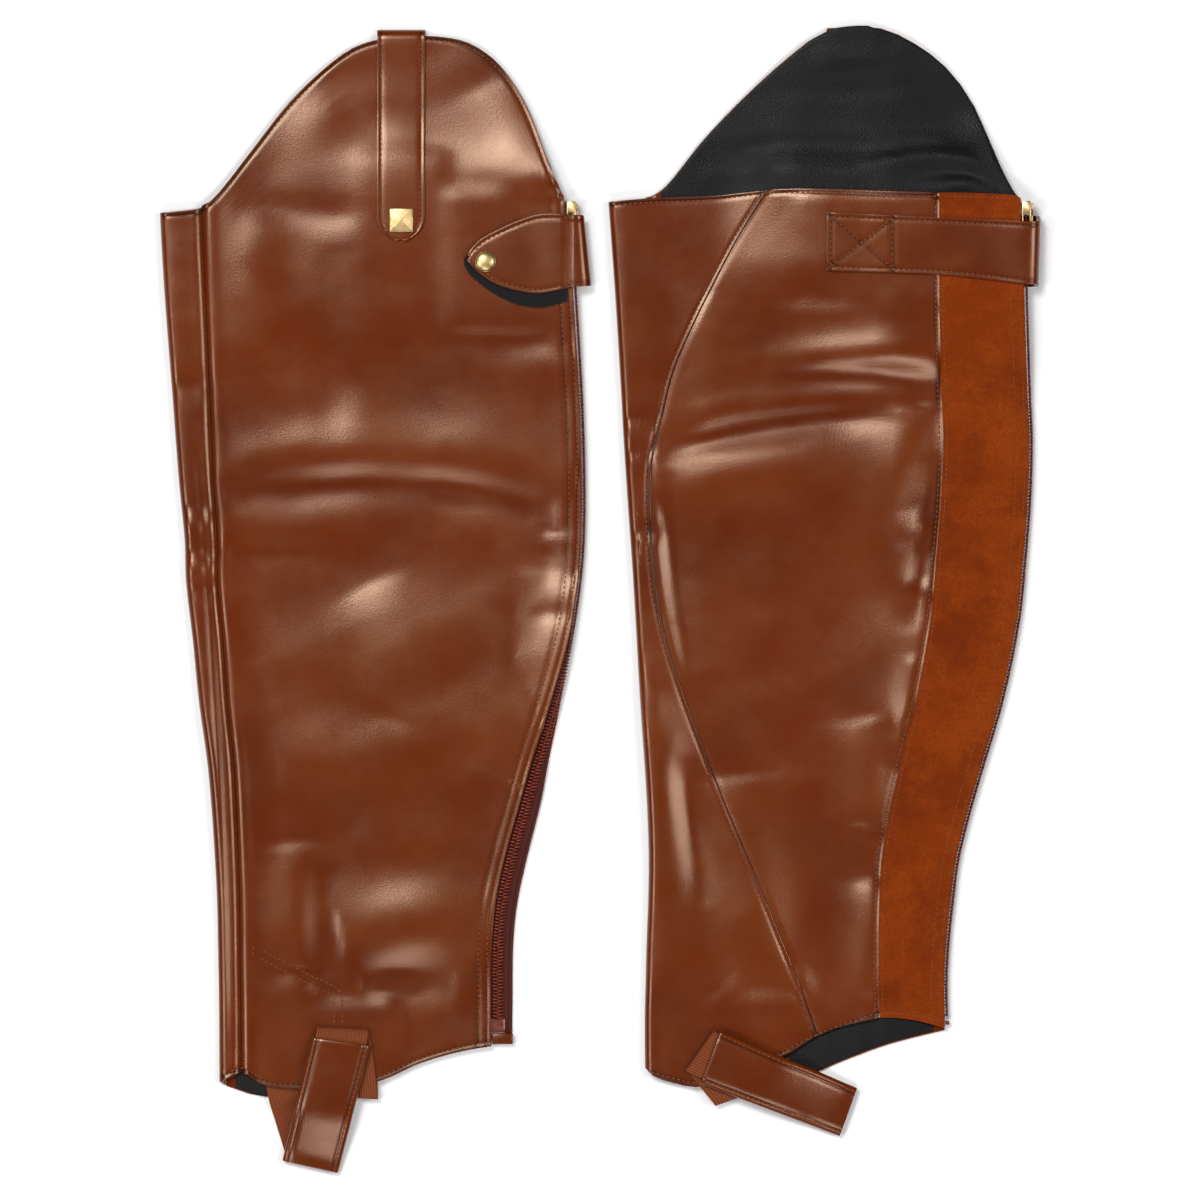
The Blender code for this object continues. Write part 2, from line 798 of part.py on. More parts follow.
def hem_lining(gaiter, material):
    """Lining of the lower wall where it shows below the upper wall's hem."""
    face = gaiter.lower
    start, end, count = gaiter.fold(0) + 8, gaiter.zip(20) - 16, 9
    rows = []
    for j, inset in enumerate((0.8, 9.0, 18.0)):
        row = []
        for i in range(count + 1):
            x = mix(start, end, i / count)
            h = gaiter.hem(face, x) + inset
            row.append(gaiter.world(x, h, gaiter.lower_top(x, h) + SEAM))
        rows.append(row)
    return sheet(gaiter.side + "_hem_lining", rows, LINING - 0.1, material)


def coil_line(gaiter, h):
    """Middle of the zip's coil at a height, and the direction of its width from low to high."""
    zip_x, lie = gaiter.zip(h), gaiter.lie(h)
    turn = math.radians(90 + 82 * lie)
    half = COIL_WIDE / 2
    setback = read(ZIPS[gaiter.side], "upper_edge", h) if h < SHOULDER else 2.5
    reach = abs(half * math.cos(turn)) + COIL_THICK / 2 * math.sin(turn)
    across = -setback + 0.4 + reach
    base = gaiter.lift(zip_x - 4, h)
    deep = half * math.sin(turn) + COIL_THICK / 2 * abs(math.cos(turn))
    clear = max(mix(3.5, 5.4, lie), LEATHER + 1.2 + 1.5 * ease(2 * lie - 1) + deep)
    height = base + mix(3.5, clear, min(lie * 5, 1))
    return Vector((zip_x + across, height)), turn


def zip_levels(gaiter, first, last):
    """The shared levels between two heights, with more of them where the coil turns over."""
    inner = [level for level in gaiter.levels if first + 4 < level < last - 4]
    between = [
        (low + high) / 2
        for low, high in zip(inner, inner[1:])
        if abs(gaiter.lie(high) - gaiter.lie(low)) > 0.02
    ]
    return sorted([first, last] + inner + between)


ZIP_FOOT = {"left": 24.0, "right": 30.0}
ZIP_HEAD = 401.0
COIL_HEAD = 415.0


def zip_coil(gaiter, material):
    rows = []
    for h in zip_levels(gaiter, ZIP_FOOT[gaiter.side] + 2, COIL_HEAD):
        centre, turn = coil_line(gaiter, h)
        along = Vector((math.cos(turn), math.sin(turn)))
        out = Vector((math.sin(turn), -math.cos(turn)))
        row = []
        for share in (-1.0, 1.0):
            spot = centre + along * (share * COIL_WIDE / 2) - out * (COIL_THICK / 2)
            row.append(gaiter.world(spot.x, h, spot.y))
        rows.append(row)
    piece = sheet(gaiter.side + "_zip_coil", rows, COIL_THICK, material, facing_down=True)
    return piece


def zip_tape(gaiter, material):
    """The tape: sewn under the upper wall's edge, behind the coil and onto the lower wall."""
    rows = []
    for h in zip_levels(gaiter, ZIP_FOOT[gaiter.side], ZIP_HEAD):
        zip_x, lie = gaiter.zip(h), gaiter.lie(h)
        centre, turn = coil_line(gaiter, h)
        along = Vector((math.cos(turn), math.sin(turn)))
        out = Vector((math.sin(turn), -math.cos(turn)))
        room = 0.5 + 0.6 * math.sin(math.pi * lie)
        behind = centre - out * (COIL_THICK / 2 + room + TAPE / 2)
        reach = mix(0.4, COIL_WIDE / 2, lie)
        low, high = behind - along * reach, behind + along * reach
        edge = gaiter.panel_edge("upper", h)
        floor = gaiter.lower_top(zip_x - 6, h) + SEAM + TAPE / 2
        over = ease(2 * lie - 1)
        tip = zip_x - mix(3.0, 1.2, over) - 1.4 * math.sin(math.pi * lie)
        turned = floor + mix(0.6, 1.2, over)
        points = [
            Vector((zip_x - 14, gaiter.lower_top(zip_x - 14, h) + SEAM + TAPE / 2)),
            Vector((tip - 1.6, floor)),
            Vector((tip - 0.5, floor)),
            Vector((tip, floor + mix(0.3, 0.6, over))),
            Vector((tip - 0.4 * over, turned)),
            Vector((low.x, max(low.y, turned + 0.25))),
            Vector((high.x, min(high.y, gaiter.upper_inside(edge, h) - 0.8))),
            Vector((edge - 1.2, gaiter.upper_inside(edge - 1.2, h) - 0.8)),
            Vector((edge - 5, gaiter.upper_inside(edge - 5, h) - 0.8)),
            Vector((edge - 10, gaiter.upper_inside(edge - 10, h) - 0.8)),
        ]
        rows.append([gaiter.world(point.x, h, point.y) for point in points])
    return sheet(gaiter.side + "_zip_tape", rows, TAPE, material, offset=0.0, even=False)


def resting(pieces):
    """A function that says how high a spot on some finished pieces is."""
    graph = bpy.context.evaluated_depsgraph_get()
    graph.update()
    trees = [BVHTree.FromObject(piece, graph) for piece in pieces]

    def height(x, y, reach=1.0):
        found = []
        for step_x in (-reach, 0, reach):
            for step_y in (-reach, 0, reach):
                start = Vector((x + step_x, y + step_y, 100)) * MM
                for tree in trees:
                    hit = tree.ray_cast(start, Vector((0, 0, -1)))[0]
                    if hit is not None:
                        found.append(hit.z / MM)
        return max(found) if found else 0.0

    return height


def band_points(gaiter, rows, count):
    """Plan points of a strap's leg, a row for each place along it."""
    near = gaiter.zip(SHOULDER)
    return [
        [(near - row.from_zip, mix(row.bottom, row.top, i / count)) for i in range(count + 1)]
        for row in rows
    ]


def strap(gaiter, on, material):
    """The closing strap: its sewn leg on the medial face, a turn round the zip, and the flap."""
    flap_low = gaiter.upper == "medial"
    low_table, high_table = (FLAP, SEWN_LEG) if flap_low else (SEWN_LEG, FLAP)
    under = SNAP_HIGH + SEAM + STRAP if flap_low else STRAP
    low_table = sorted(low_table, key=lambda row: -row.from_zip)
    high_table = sorted(high_table, key=lambda row: row.from_zip)
    low_rows = [[(x, h, under) for x, h in row] for row in band_points(gaiter, low_table, 3)]
    high_rows = []
    level = 0.0
    for row in reversed(band_points(gaiter, high_table, 3)):
        spots = [gaiter.world(x, h, 0) for x, h in row]
        level = max([level] + [on(x, y, 4.0) + SEAM for x, y, _ in spots])
        high_rows.insert(0, [(x, h, level) for x, h in row])
    near = gaiter.zip(SHOULDER)
    turn_rows = []
    for step in range(1, TURN_STEPS):
        angle = math.pi * step / TURN_STEPS
        out = math.sin(angle) ** TURN_BOXED
        up = (1 - math.copysign(abs(math.cos(angle)) ** TURN_BOXED, math.cos(angle))) / 2
        row = []
        for i, (low, high) in enumerate(zip(low_rows[-1], high_rows[0])):
            reach = mix(*TURN_REACH[gaiter.side], i / 3) - STRAP
            start = mix(low[0], high[0], up)
            x = start + (near + reach - start) * out
            row.append((x, mix(low[1], high[1], up), mix(low[2], high[2], up)))
        turn_rows.append(row)
    rows = low_rows + turn_rows + high_rows
    points = [[gaiter.world(*point) for point in row] for row in rows]
    return sheet(gaiter.side + "_strap", points, STRAP, material)


def felt_patch(gaiter, on, material):
    """The felt patch under the flap, on the lateral panel's outer face."""
    below = gaiter.upper == "medial"
    rows = []
    for row in band_points(gaiter, FELT, 3):
        spots = [gaiter.world(x, h, 0) for x, h in row]
        if below:
            level = FLAP_LIFT - SEAM
        else:
            level = max(on(x, y, 4.0) for x, y, _ in spots) + SEAM
        rows.append([(x, y, level) for x, y, _ in spots])
    name = gaiter.side + "_strap_patch"
    return sheet(name, rows, PATCH, material, facing_down=below)


def top_tab(gaiter, on, material):
    """The tab down the middle of the raised top, turned over its edge, with a round end."""
    size = TABS[gaiter.side]
    below = gaiter.upper == "medial"
    radius = (size.right - size.left) / 2
    middle = (size.right + size.left) / 2 + 0.2
    spots = []
    for angle in (78, 55, 30, 0):
        turn = math.radians(angle)
        spots.append((TAB_END - radius * math.sin(turn), radius * math.cos(turn)))
    steps = 7
    for i in range(1, steps + 1):
        spots.append((mix(TAB_END, size.height - 2, i / steps), radius))
    rows = []
    for h, half in spots:
        row = []
        for share in (-1, 0, 1):
            x = middle + share * half
            if below:
                z = gaiter.lift(x, h) - SEAM
            else:
                place = gaiter.world(x, h, 0)
                z = on(place[0], place[1], 3.0) + SEAM
            row.append(gaiter.world(x, h, z))
        rows.append(row)
    for last_h, z_shift in ((size.height + 1.2, 0.0), (size.height + 1.2, 1.0)):
        row = []
        for share in (-1, 0, 1):
            x = middle + share * radius
            edge_z = rows[steps + 3][share + 1][2]
            far_z = LEATHER + LINING + 2 * SEAM + TAB if below else 0.2
            row.append(gaiter.world(x, last_h, mix(edge_z, far_z, z_shift)))
        rows.append(row)
    return sheet(gaiter.side + "_top_tab", rows, TAB, material, facing_down=below)


def stud(gaiter, on, material):
    """A square pyramid stud on the tab, with a blunt tip."""
    name = gaiter.side + "_stud"
    x, y, _ = gaiter.world(*STUD_AT[gaiter.side], 0)
    below = gaiter.upper == "medial"
    form = bmesh.new()
    bmesh.ops.create_cone(
        form,
        cap_ends=True,
        segments=4,
        radius1=STUD_SIDE / math.sqrt(2) * MM,
        radius2=STUD_TIP / math.sqrt(2) * MM,
        depth=STUD_HIGH * MM,
    )
    base = 0.0 if below else on(x, y, STUD_SIDE / 2) + SEAM
    flip = math.pi if below else 0.0
    turn = Matrix.Rotation(flip, 4, "X") @ Matrix.Rotation(math.radians(45), 4, "Z")
    bmesh.ops.transform(form, matrix=turn, verts=form.verts)
    spot = Vector((x, y, base + STUD_HIGH / 2)) * MM
    bmesh.ops.translate(form, vec=spot, verts=form.verts)
    mesh = bpy.data.meshes.new(name)
    form.to_mesh(mesh)
    form.free()
    return add_object(name, mesh, material)


def snap(gaiter, on, material):
    """The snap's cap on the flap: a low dome turned about its axis."""
    name = gaiter.side + "_snap"
    below = gaiter.upper == "medial"
    x, y, _ = gaiter.world(gaiter.zip(SHOULDER) - SNAP_AT[0], SNAP_AT[1], 0)
    profile = (
        (0.0, SNAP_HIGH),
        (0.55 * SNAP_RADIUS, SNAP_HIGH),
        (0.86 * SNAP_RADIUS, 0.72 * SNAP_HIGH),
        (SNAP_RADIUS, 0.3 * SNAP_HIGH),
        (0.96 * SNAP_RADIUS, 0.0),
        (0.0, 0.0),
    )
    mesh = bpy.data.meshes.new(name)
    points = [(radius * MM, 0, z * MM) for radius, z in profile]
    mesh.from_pydata(points, [(i, i + 1) for i in range(len(points) - 1)], [])
    piece = add_object(name, mesh, material)
    turned = piece.modifiers.new("Turned", "SCREW")
    turned.steps = 20
    turned.render_steps = 20
    turned.use_merge_vertices = True
    turned.merge_threshold = 0.00001
    base = SNAP_HIGH if below else on(x, y, SNAP_RADIUS) + SEAM
    piece.location = Vector((x, y, base)) * MM
    piece.rotation_euler = (math.pi if below else 0, 0, 0)
    return piece


SLIDER_FOOT = 409.6
SLIDER_HEAD = 421.2
SLIDER_POST = 5.6
SLIDER_WIDE = 6.2
PLATE = 0.7
PIN_RADIUS = 0.35
PIN_HEIGHT = 418.6
PIN_OUT = 1.0
EYE_RADIUS = 1.0
EYE_HOLE = 0.6
LUG = 0.8
PULL_WIDE = 2.6
PULL_TAB_WIDE = 4.2
PULL_THICK = 0.7
PULL_LONG = 21.0


def block(form, low, high):
    """A box primitive between two corners in millimetres."""
    made = bmesh.ops.create_cube(form, size=1.0)
    size = Vector(high) - Vector(low)
    middle = (Vector(high) + Vector(low)) / 2
    matrix = Matrix.Translation(middle * MM) @ Matrix.Diagonal((*(size * MM), 1))
    bmesh.ops.transform(form, matrix=matrix, verts=made["verts"])


def pin(form, centre, radius, length, segments=12):
    """A cylinder primitive along Z."""
    made = bmesh.ops.create_cone(
        form,
        cap_ends=True,
        segments=segments,
        radius1=radius * MM,
        radius2=radius * MM,
        depth=length * MM,
    )
    bmesh.ops.translate(form, vec=Vector(centre) * MM, verts=made["verts"])


def body_of(name, make, material=None):
    """An object from boxes and pins. With no material it is a cutter."""
    form = bmesh.new()
    make(form)
    mesh = bpy.data.meshes.new(name)
    form.to_mesh(mesh)
    form.free()
    if material:
        return add_object(name, mesh, material)
    tool = bpy.data.objects.new(name, mesh)
    tool.hide_render = True
    tool.display_type = "WIRE"
    bpy.data.collections["cutters"].objects.link(tool)
    return tool


def cut(piece, tool, how="DIFFERENCE"):
    boolean = piece.modifiers.new(how.title(), "BOOLEAN")
    boolean.operation = how
    boolean.object = tool
    boolean.solver = "EXACT"


def slider_frame(gaiter):
    """Where the zip line, the middle of the stack and the pivot lie, in world millimetres."""
    zip_x = gaiter.zip(SLIDER_FOOT + 4)
    x, y, _ = gaiter.world(zip_x, 0, 0)
    middle = gaiter.lift(zip_x - 4, SLIDER_FOOT) + 3.5
    return x, y, middle


def zip_slider(gaiter, material):
    """The slider seen on edge: two plates over the coil, joined at the head, with pin lugs."""
    x, y, z = slider_frame(gaiter)
    foot, head = y + SLIDER_FOOT, y + SLIDER_HEAD
    half, side = SLIDER_WIDE / 2, PULL_WIDE / 2 + SEAM
    coil_in, coil_out = x - COIL_THICK - 0.8, x + 0.2
    name = gaiter.side + "_zip_slider"
    piece = body_of(
        name,
        lambda form: block(
            form, (coil_in - PLATE, foot, z - half), (coil_out + PLATE, head, z + half)
        ),
        material,
    )
    slot = body_of(
        name + "_slot",
        lambda form: block(
            form, (coil_in, foot - 1, z - half - 1), (coil_out, head - SLIDER_POST, z + half + 1)
        ),
    )
    cut(piece, slot)
    for end, low in (("low", z - side - LUG), ("high", z + side)):
        lug = body_of(
            f"{name}_lug_{end}",
            lambda form, low=low: block(
                form,
                (coil_out, y + PIN_HEIGHT - 1.5, low),
                (x + PIN_OUT + 1.0, y + PIN_HEIGHT + 1.5, low + LUG),
            ),
        )
        cut(piece, lug, "UNION")
    recess = body_of(
        name + "_recess",
        lambda form: block(
            form,
            (x + PIN_OUT - EYE_RADIUS - SEAM, y + PIN_HEIGHT - EYE_RADIUS - SEAM, z - side),
            (x + PIN_OUT + 4, head + 1, z + side),
        ),
    )
    cut(piece, recess)
    bar = body_of(
        name + "_pin",
        lambda form: pin(form, (x + PIN_OUT, y + PIN_HEIGHT, z), PIN_RADIUS, 2 * side + LUG),
    )
    cut(piece, bar, "UNION")
    return piece


def zip_pull(gaiter, material):
    """The pull: an eye round the slider's pin and a flat tab that hangs under the strap."""
    x, y, z = slider_frame(gaiter)
    centre = (x + PIN_OUT, y + PIN_HEIGHT, z)
    outer = x + PIN_OUT + EYE_RADIUS - 0.1
    name = gaiter.side + "_zip_pull"
    piece = body_of(name, lambda form: pin(form, centre, EYE_RADIUS, PULL_WIDE, 16), material)
    neck = body_of(
        name + "_neck",
        lambda form: block(
            form,
            (outer - PULL_THICK, centre[1] - 6, z - PULL_WIDE / 2),
            (outer, centre[1], z + PULL_WIDE / 2),
        ),
    )
    tab = body_of(
        name + "_tab",
        lambda form: block(
            form,
            (outer - PULL_THICK, centre[1] - PULL_LONG, z - PULL_TAB_WIDE / 2),
            (outer, centre[1] - 4, z + PULL_TAB_WIDE / 2),
        ),
    )
    hole = body_of(name + "_hole", lambda form: pin(form, centre, EYE_HOLE, PULL_WIDE + 2, 16))
    cut(piece, neck, "UNION")
    cut(piece, tab, "UNION")
    cut(piece, hole)
    return piece


def zip_end(gaiter, material):
    """The little leather tab that finishes the zip's foot."""
    side = gaiter.side
    foot = ZIP_FOOT[side] - 0.6
    low = 5.2
    left, right = gaiter.panel_edge("upper", foot) + 0.4, gaiter.zip(foot)
    if side == "right":
        left, right, low = right - 2.1, right - 0.2, 1.9
    rows = []
    for h in (foot - low, foot):
        base = gaiter.lower_top(right, h) + SEAM
        rows.append([gaiter.world(mix(left, right, i / 2), h, base) for i in range(3)])
    return sheet(side + "_zip_end", rows, 3.0, material)


def foot_elastic(gaiter, material):
    rows = []
    for row in ELASTICS[gaiter.side]:
        rows.append(
            [
                gaiter.world(
                    mix(row.near_x, row.far_x, i / 2),
                    mix(row.near_h, row.far_h, i / 2),
                    row.z,
                )
                for i in range(3)
            ]
        )
    return sheet(gaiter.side + "_foot_elastic", rows, ELASTIC, material, offset=0.0)


def foot_sleeve(gaiter, material):
    """The leather sleeve: an open cylinder pressed flat round the elastic, then thickened."""
    name = gaiter.side + "_foot_sleeve"
    rows = SLEEVES[gaiter.side]
    around, along = len(SLEEVE_SECTION), len(rows) - 1
    form = bmesh.new()
    bmesh.ops.create_cone(form, cap_ends=False, segments=around, radius1=1, radius2=1, depth=1)
    upright = [edge for edge in form.edges if abs(edge.verts[0].co.z - edge.verts[1].co.z) > 0.5]
    bmesh.ops.subdivide_edges(form, edges=upright, cuts=along - 1)
    for vert in form.verts:
        i = round(math.atan2(vert.co.y, vert.co.x) / (2 * math.pi) * around) % around
        j = round((vert.co.z + 0.5) * along)
        across, up = SLEEVE_SECTION[i]
        row, before = rows[j], rows[j - 1]
        back = MOUTH_BACK if j == along and up < -0.5 else 0.0
        near = Vector((mix(row.near_x, before.near_x, back), mix(row.near_h, before.near_h, back)))
        far = Vector((mix(row.far_x, before.far_x, back), mix(row.far_h, before.far_h, back)))
        inset = SLEEVE_WALL / (far - near).length
        spot = near.lerp(far, mix(inset, 1 - inset, (across + 1) / 2))
        z = mix(row.z, before.z, back) + SLEEVE_WALL + (1 + up) * SLEEVE_ROOM / 2
        vert.co = Vector(gaiter.world(spot.x, spot.y, z)) * MM
    bmesh.ops.recalc_face_normals(form, faces=form.faces)
    mesh = bpy.data.meshes.new(name)
    form.to_mesh(mesh)
    form.free()
    piece = add_object(name, mesh, material)
    wall = piece.modifiers.new("Wall", "SOLIDIFY")
    wall.thickness = SLEEVE_WALL * MM
    wall.offset = 1.0
    wall.use_even_offset = True
    return piece


def main():
    for item in list(bpy.data.objects):
        bpy.data.objects.remove(item, do_unlink=True)
    for name in ("gaiters", "cutters"):
        bpy.context.scene.collection.children.link(bpy.data.collections.new(name))
    leather = finish_material("leather", (0.32, 0.11, 0.03), 0.35)
    suede = finish_material("suede", (0.36, 0.12, 0.02), 0.9)
    black = finish_material("lining", (0.02, 0.02, 0.02), 0.6)
    felt = finish_material("felt", (0.012, 0.013, 0.016), 1.0)
    zip_cloth = finish_material("zip", (0.08, 0.015, 0.01), 0.7)
    web = finish_material("elastic", (0.25, 0.09, 0.02), 0.85)
    gold = finish_material("gold", (0.75, 0.6, 0.3), 0.25, 1.0)
    for side in ("left", "right"):
        gaiter = Gaiter(side)
        walls = [
            shin_panel(gaiter, leather),
            lateral_panel(gaiter, leather),
            medial_panel(gaiter, leather),
            suede_panel(gaiter, suede),
        ]
        top_lining(gaiter, black)
        hem_lining(gaiter, black)
        zip_tape(gaiter, zip_cloth)
        zip_coil(gaiter, zip_cloth)
        zip_end(gaiter, leather)
        patch = felt_patch(gaiter, resting(walls), felt)
        over = walls + [patch] if gaiter.upper == "lateral" else walls
        band = strap(gaiter, resting(over), leather)
        snap(gaiter, resting([band]), gold)
        tab = top_tab(gaiter, resting(walls), leather)
        stud(gaiter, resting([tab]), gold)
        zip_slider(gaiter, gold)
        zip_pull(gaiter, gold)
        foot_elastic(gaiter, web)
        foot_sleeve(gaiter, leather)


main()
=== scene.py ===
"""Looks for a pair of zipped leather gaiters with raised tops, laid flat side by side.

Lengths in the tables are in millimetres. x runs from the top of the shin fold towards the zip
and height from the front of the hem up the leg, the same for both gaiters.
"""

import functools
import math
from collections import namedtuple

import bmesh
import bpy
import numpy as np
from bpy.props import FloatProperty, FloatVectorProperty, PointerProperty
from mathutils import Matrix, Vector
from mathutils.bvhtree import BVHTree


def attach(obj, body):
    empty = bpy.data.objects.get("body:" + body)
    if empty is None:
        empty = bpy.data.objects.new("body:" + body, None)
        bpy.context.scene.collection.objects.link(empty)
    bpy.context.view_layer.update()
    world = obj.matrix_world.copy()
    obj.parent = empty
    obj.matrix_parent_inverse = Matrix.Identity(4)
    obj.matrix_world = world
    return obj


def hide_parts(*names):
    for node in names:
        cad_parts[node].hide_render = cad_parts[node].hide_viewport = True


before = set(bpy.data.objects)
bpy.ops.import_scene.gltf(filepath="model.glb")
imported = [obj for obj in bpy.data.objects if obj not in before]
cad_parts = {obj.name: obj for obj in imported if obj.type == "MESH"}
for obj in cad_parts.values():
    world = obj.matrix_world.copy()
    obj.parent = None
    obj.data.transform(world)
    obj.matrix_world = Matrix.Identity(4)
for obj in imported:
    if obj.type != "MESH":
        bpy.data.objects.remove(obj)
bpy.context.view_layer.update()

bl_info = {
    "name": "Leather gaiters",
    "version": (1, 0, 0),
    "blender": (4, 5, 0),
    "location": "View3D > Sidebar > Gaiters",
    "description": "Builds the leather, seams, zips and fittings of a pair of gaiters",
    "category": "Object",
}


def rows_of(kind, *rows):
    """A table of rows with named columns."""
    return tuple(kind(*row) for row in rows)


MM = 0.001
SIDES = ("left", "right")
LEATHER = 1.6
LINING = 0.8
TAPE = 0.6
COIL_THICK = 1.8
COIL_WIDE = 5.4
STRAP = 2.0
PATCH = 1.2
TAB = 1.5
ELASTIC = 1.0
SLEEVE_WALL = 1.2
SEAM = 0.3
SHOULDER = 400.0
PANEL_TOP = 420.0
TOP_OF_HEM = 40.0
FLOOR = 0.02
BODY_GAP = 2.2
EDGE_GAP = 3.8
ZIP_GAP = 3.6
LINING_GAP = 0.5
LEAST_GAP = 0.9
HEM_GAP = 2.6
ROLL = 14.0
ZIP_ROLL = 18.0
PRESS_SLOPE = 12.0
LIFT_SLOPE = 46.0
SNAP_RADIUS = 5.0
SNAP_HIGH = 2.0
SNAP_RING = 0.7
DOME_FOOT = 0.5
DOME_RADIUS = 4.75
STUD_SIDE = 11.0
STUD_HIGH = 3.2
STUD_FOOT = 0.9
STUD_RIM = 0.5
STUD_TIP = 0.12
PLACE = {"left": (-210.51, -231.91), "right": (3.59, -231.91)}
UPPER = {"left": "lateral", "right": "medial"}
LOWER = {"left": "medial", "right": "lateral"}

Section = namedtuple("Section", "height fold zip")
SECTIONS = {
    "left": rows_of(
        Section,
        (424, 0.0, 197.0), (410, 0.3, 198.2), (375, 2.4, 200.2), (326, 6.2, 203.0),
        (288, 9.1, 204.2), (259, 11.9, 204.0), (240, 12.5, 202.6), (211, 15.8, 198.7),
        (182, 18.7, 193.9), (154, 22.6, 187.2), (134, 24.5, 182.9), (106, 26.4, 175.7),
        (86, 27.4, 171.4), (67, 27.8, 169.4), (38, 28.3, 169.0), (0, 28.5, 168.6),
    ),
    "right": rows_of(
        Section,
        (424, 0.2, 201.2), (374, 3.8, 201.6), (326, 6.7, 203.2), (307, 7.7, 204.0),
        (278, 9.6, 203.2), (250, 11.6, 201.0), (221, 13.4, 198.0), (182, 15.6, 190.0),
        (144, 18.2, 178.8), (125, 19.2, 173.5), (106, 19.7, 169.0), (86, 19.4, 166.4),
        (67, 18.7, 164.4), (48, 18.2, 163.4), (29, 17.8, 163.7), (0, 18.0, 164.0),
    ),
}

Seam = namedtuple("Seam", "height away")
CREASE_SEAM = rows_of(
    Seam,
    (420, 20.4), (366, 19.3), (280, 16.3), (183, 13.6), (86, 10.8), (0, 10.5),
)
CURVED_SEAM = rows_of(
    Seam,
    (430, 79.0), (404, 61.0), (382, 47.7), (361, 35.9), (340, 25.7), (317, 18.6), (296, 12.8),
    (276, 10.8), (253, 9.9), (230, 11.2), (203, 16.0), (148, 32.4), (110, 46.4), (80, 59.2),
    (47, 73.5), (15, 85.5),
)
SUEDE_SEAM = rows_of(
    Seam,
    (424, 42.8), (326, 43.4), (211, 43.6), (150, 41.0), (86, 36.6), (60, 34.4), (25, 33.2),
)

Zip = namedtuple("Zip", "height upper_edge lower_edge lie")
ZIPS = {
    "left": rows_of(
        Zip,
        (424, 3.8, 3.8, 0.0), (410, 3.8, 3.8, 0.0), (402, 2.5, 2.5, 0.0), (235, 2.6, 2.5, 0.0),
        (211, 3.4, 2.5, 0.1), (183, 6.6, 2.2, 0.5), (154, 9.0, 1.2, 0.9), (130, 10.4, 0.6, 1.0),
        (86, 10.8, 0.4, 1.0), (18, 10.2, 0.4, 1.0),
    ),
    "right": rows_of(
        Zip,
        (424, 3.8, 3.8, 0.0), (410, 3.8, 3.8, 0.0), (402, 2.5, 2.5, 0.0), (0, 2.5, 2.5, 0.0),
    ),
}

Top = namedtuple("Top", "x left right")
LATERAL_TOP = rows_of(
    Top,
    (0, 415.7, 421.0), (18.5, 417.9, 423.0), (31.4, 425.8, 429.6), (49.8, 445.4, 449.5),
    (70.9, 471.2, 471.1), (92.1, 492.3, 492.0), (103.1, 498.2, 501.3), (115.0, 500.2, 504.6),
    (128.0, 500.2, 503.8), (142.1, 496.8, 496.6), (156.8, 485.9, 485.0), (170.6, 466.6, 467.0),
    (184.3, 438.1, 439.5), (194.5, 422.9, 424.5), (203.0, 418.5, 420.5),
)
MEDIAL_TOP = rows_of(
    Top,
    (0, 415.7, 421.0), (21.4, 418.0, 422.7), (49.4, 420.0, 423.8), (75.4, 422.0, 426.7),
    (101.0, 422.5, 427.1), (135.7, 421.5, 425.6), (192.0, 420.0, 424.2), (203.0, 417.0, 420.0),
)

Hem = namedtuple("Hem", "from_fold left right")
LATERAL_HEM = rows_of(
    Hem,
    (0, 0.0, 7.0), (5, 2.0, 4.0), (10.6, 4.8, 4.5), (21, -1.4, 1.0), (36, -3.4, -1.0),
    (57, -2.9, 0.0), (77, 0.7, 3.0), (96, 9.0, 10.6), (117, 15.0, 18.2), (146, 19.5, 25.5),
)
MEDIAL_HEM = rows_of(
    Hem,
    (0, 0.0, 7.0), (4, -2.0, 2.8), (12.5, -5.0, 0.0), (22.5, -7.7, -2.2), (36, -4.5, -1.0),
    (47, -0.5, 2.5), (68, 9.0, 13.4), (84.5, 17.5, 21.6), (110.6, 25.5, 30.4),
    (128, 25.5, 29.8), (146, 21.0, 25.2),
)

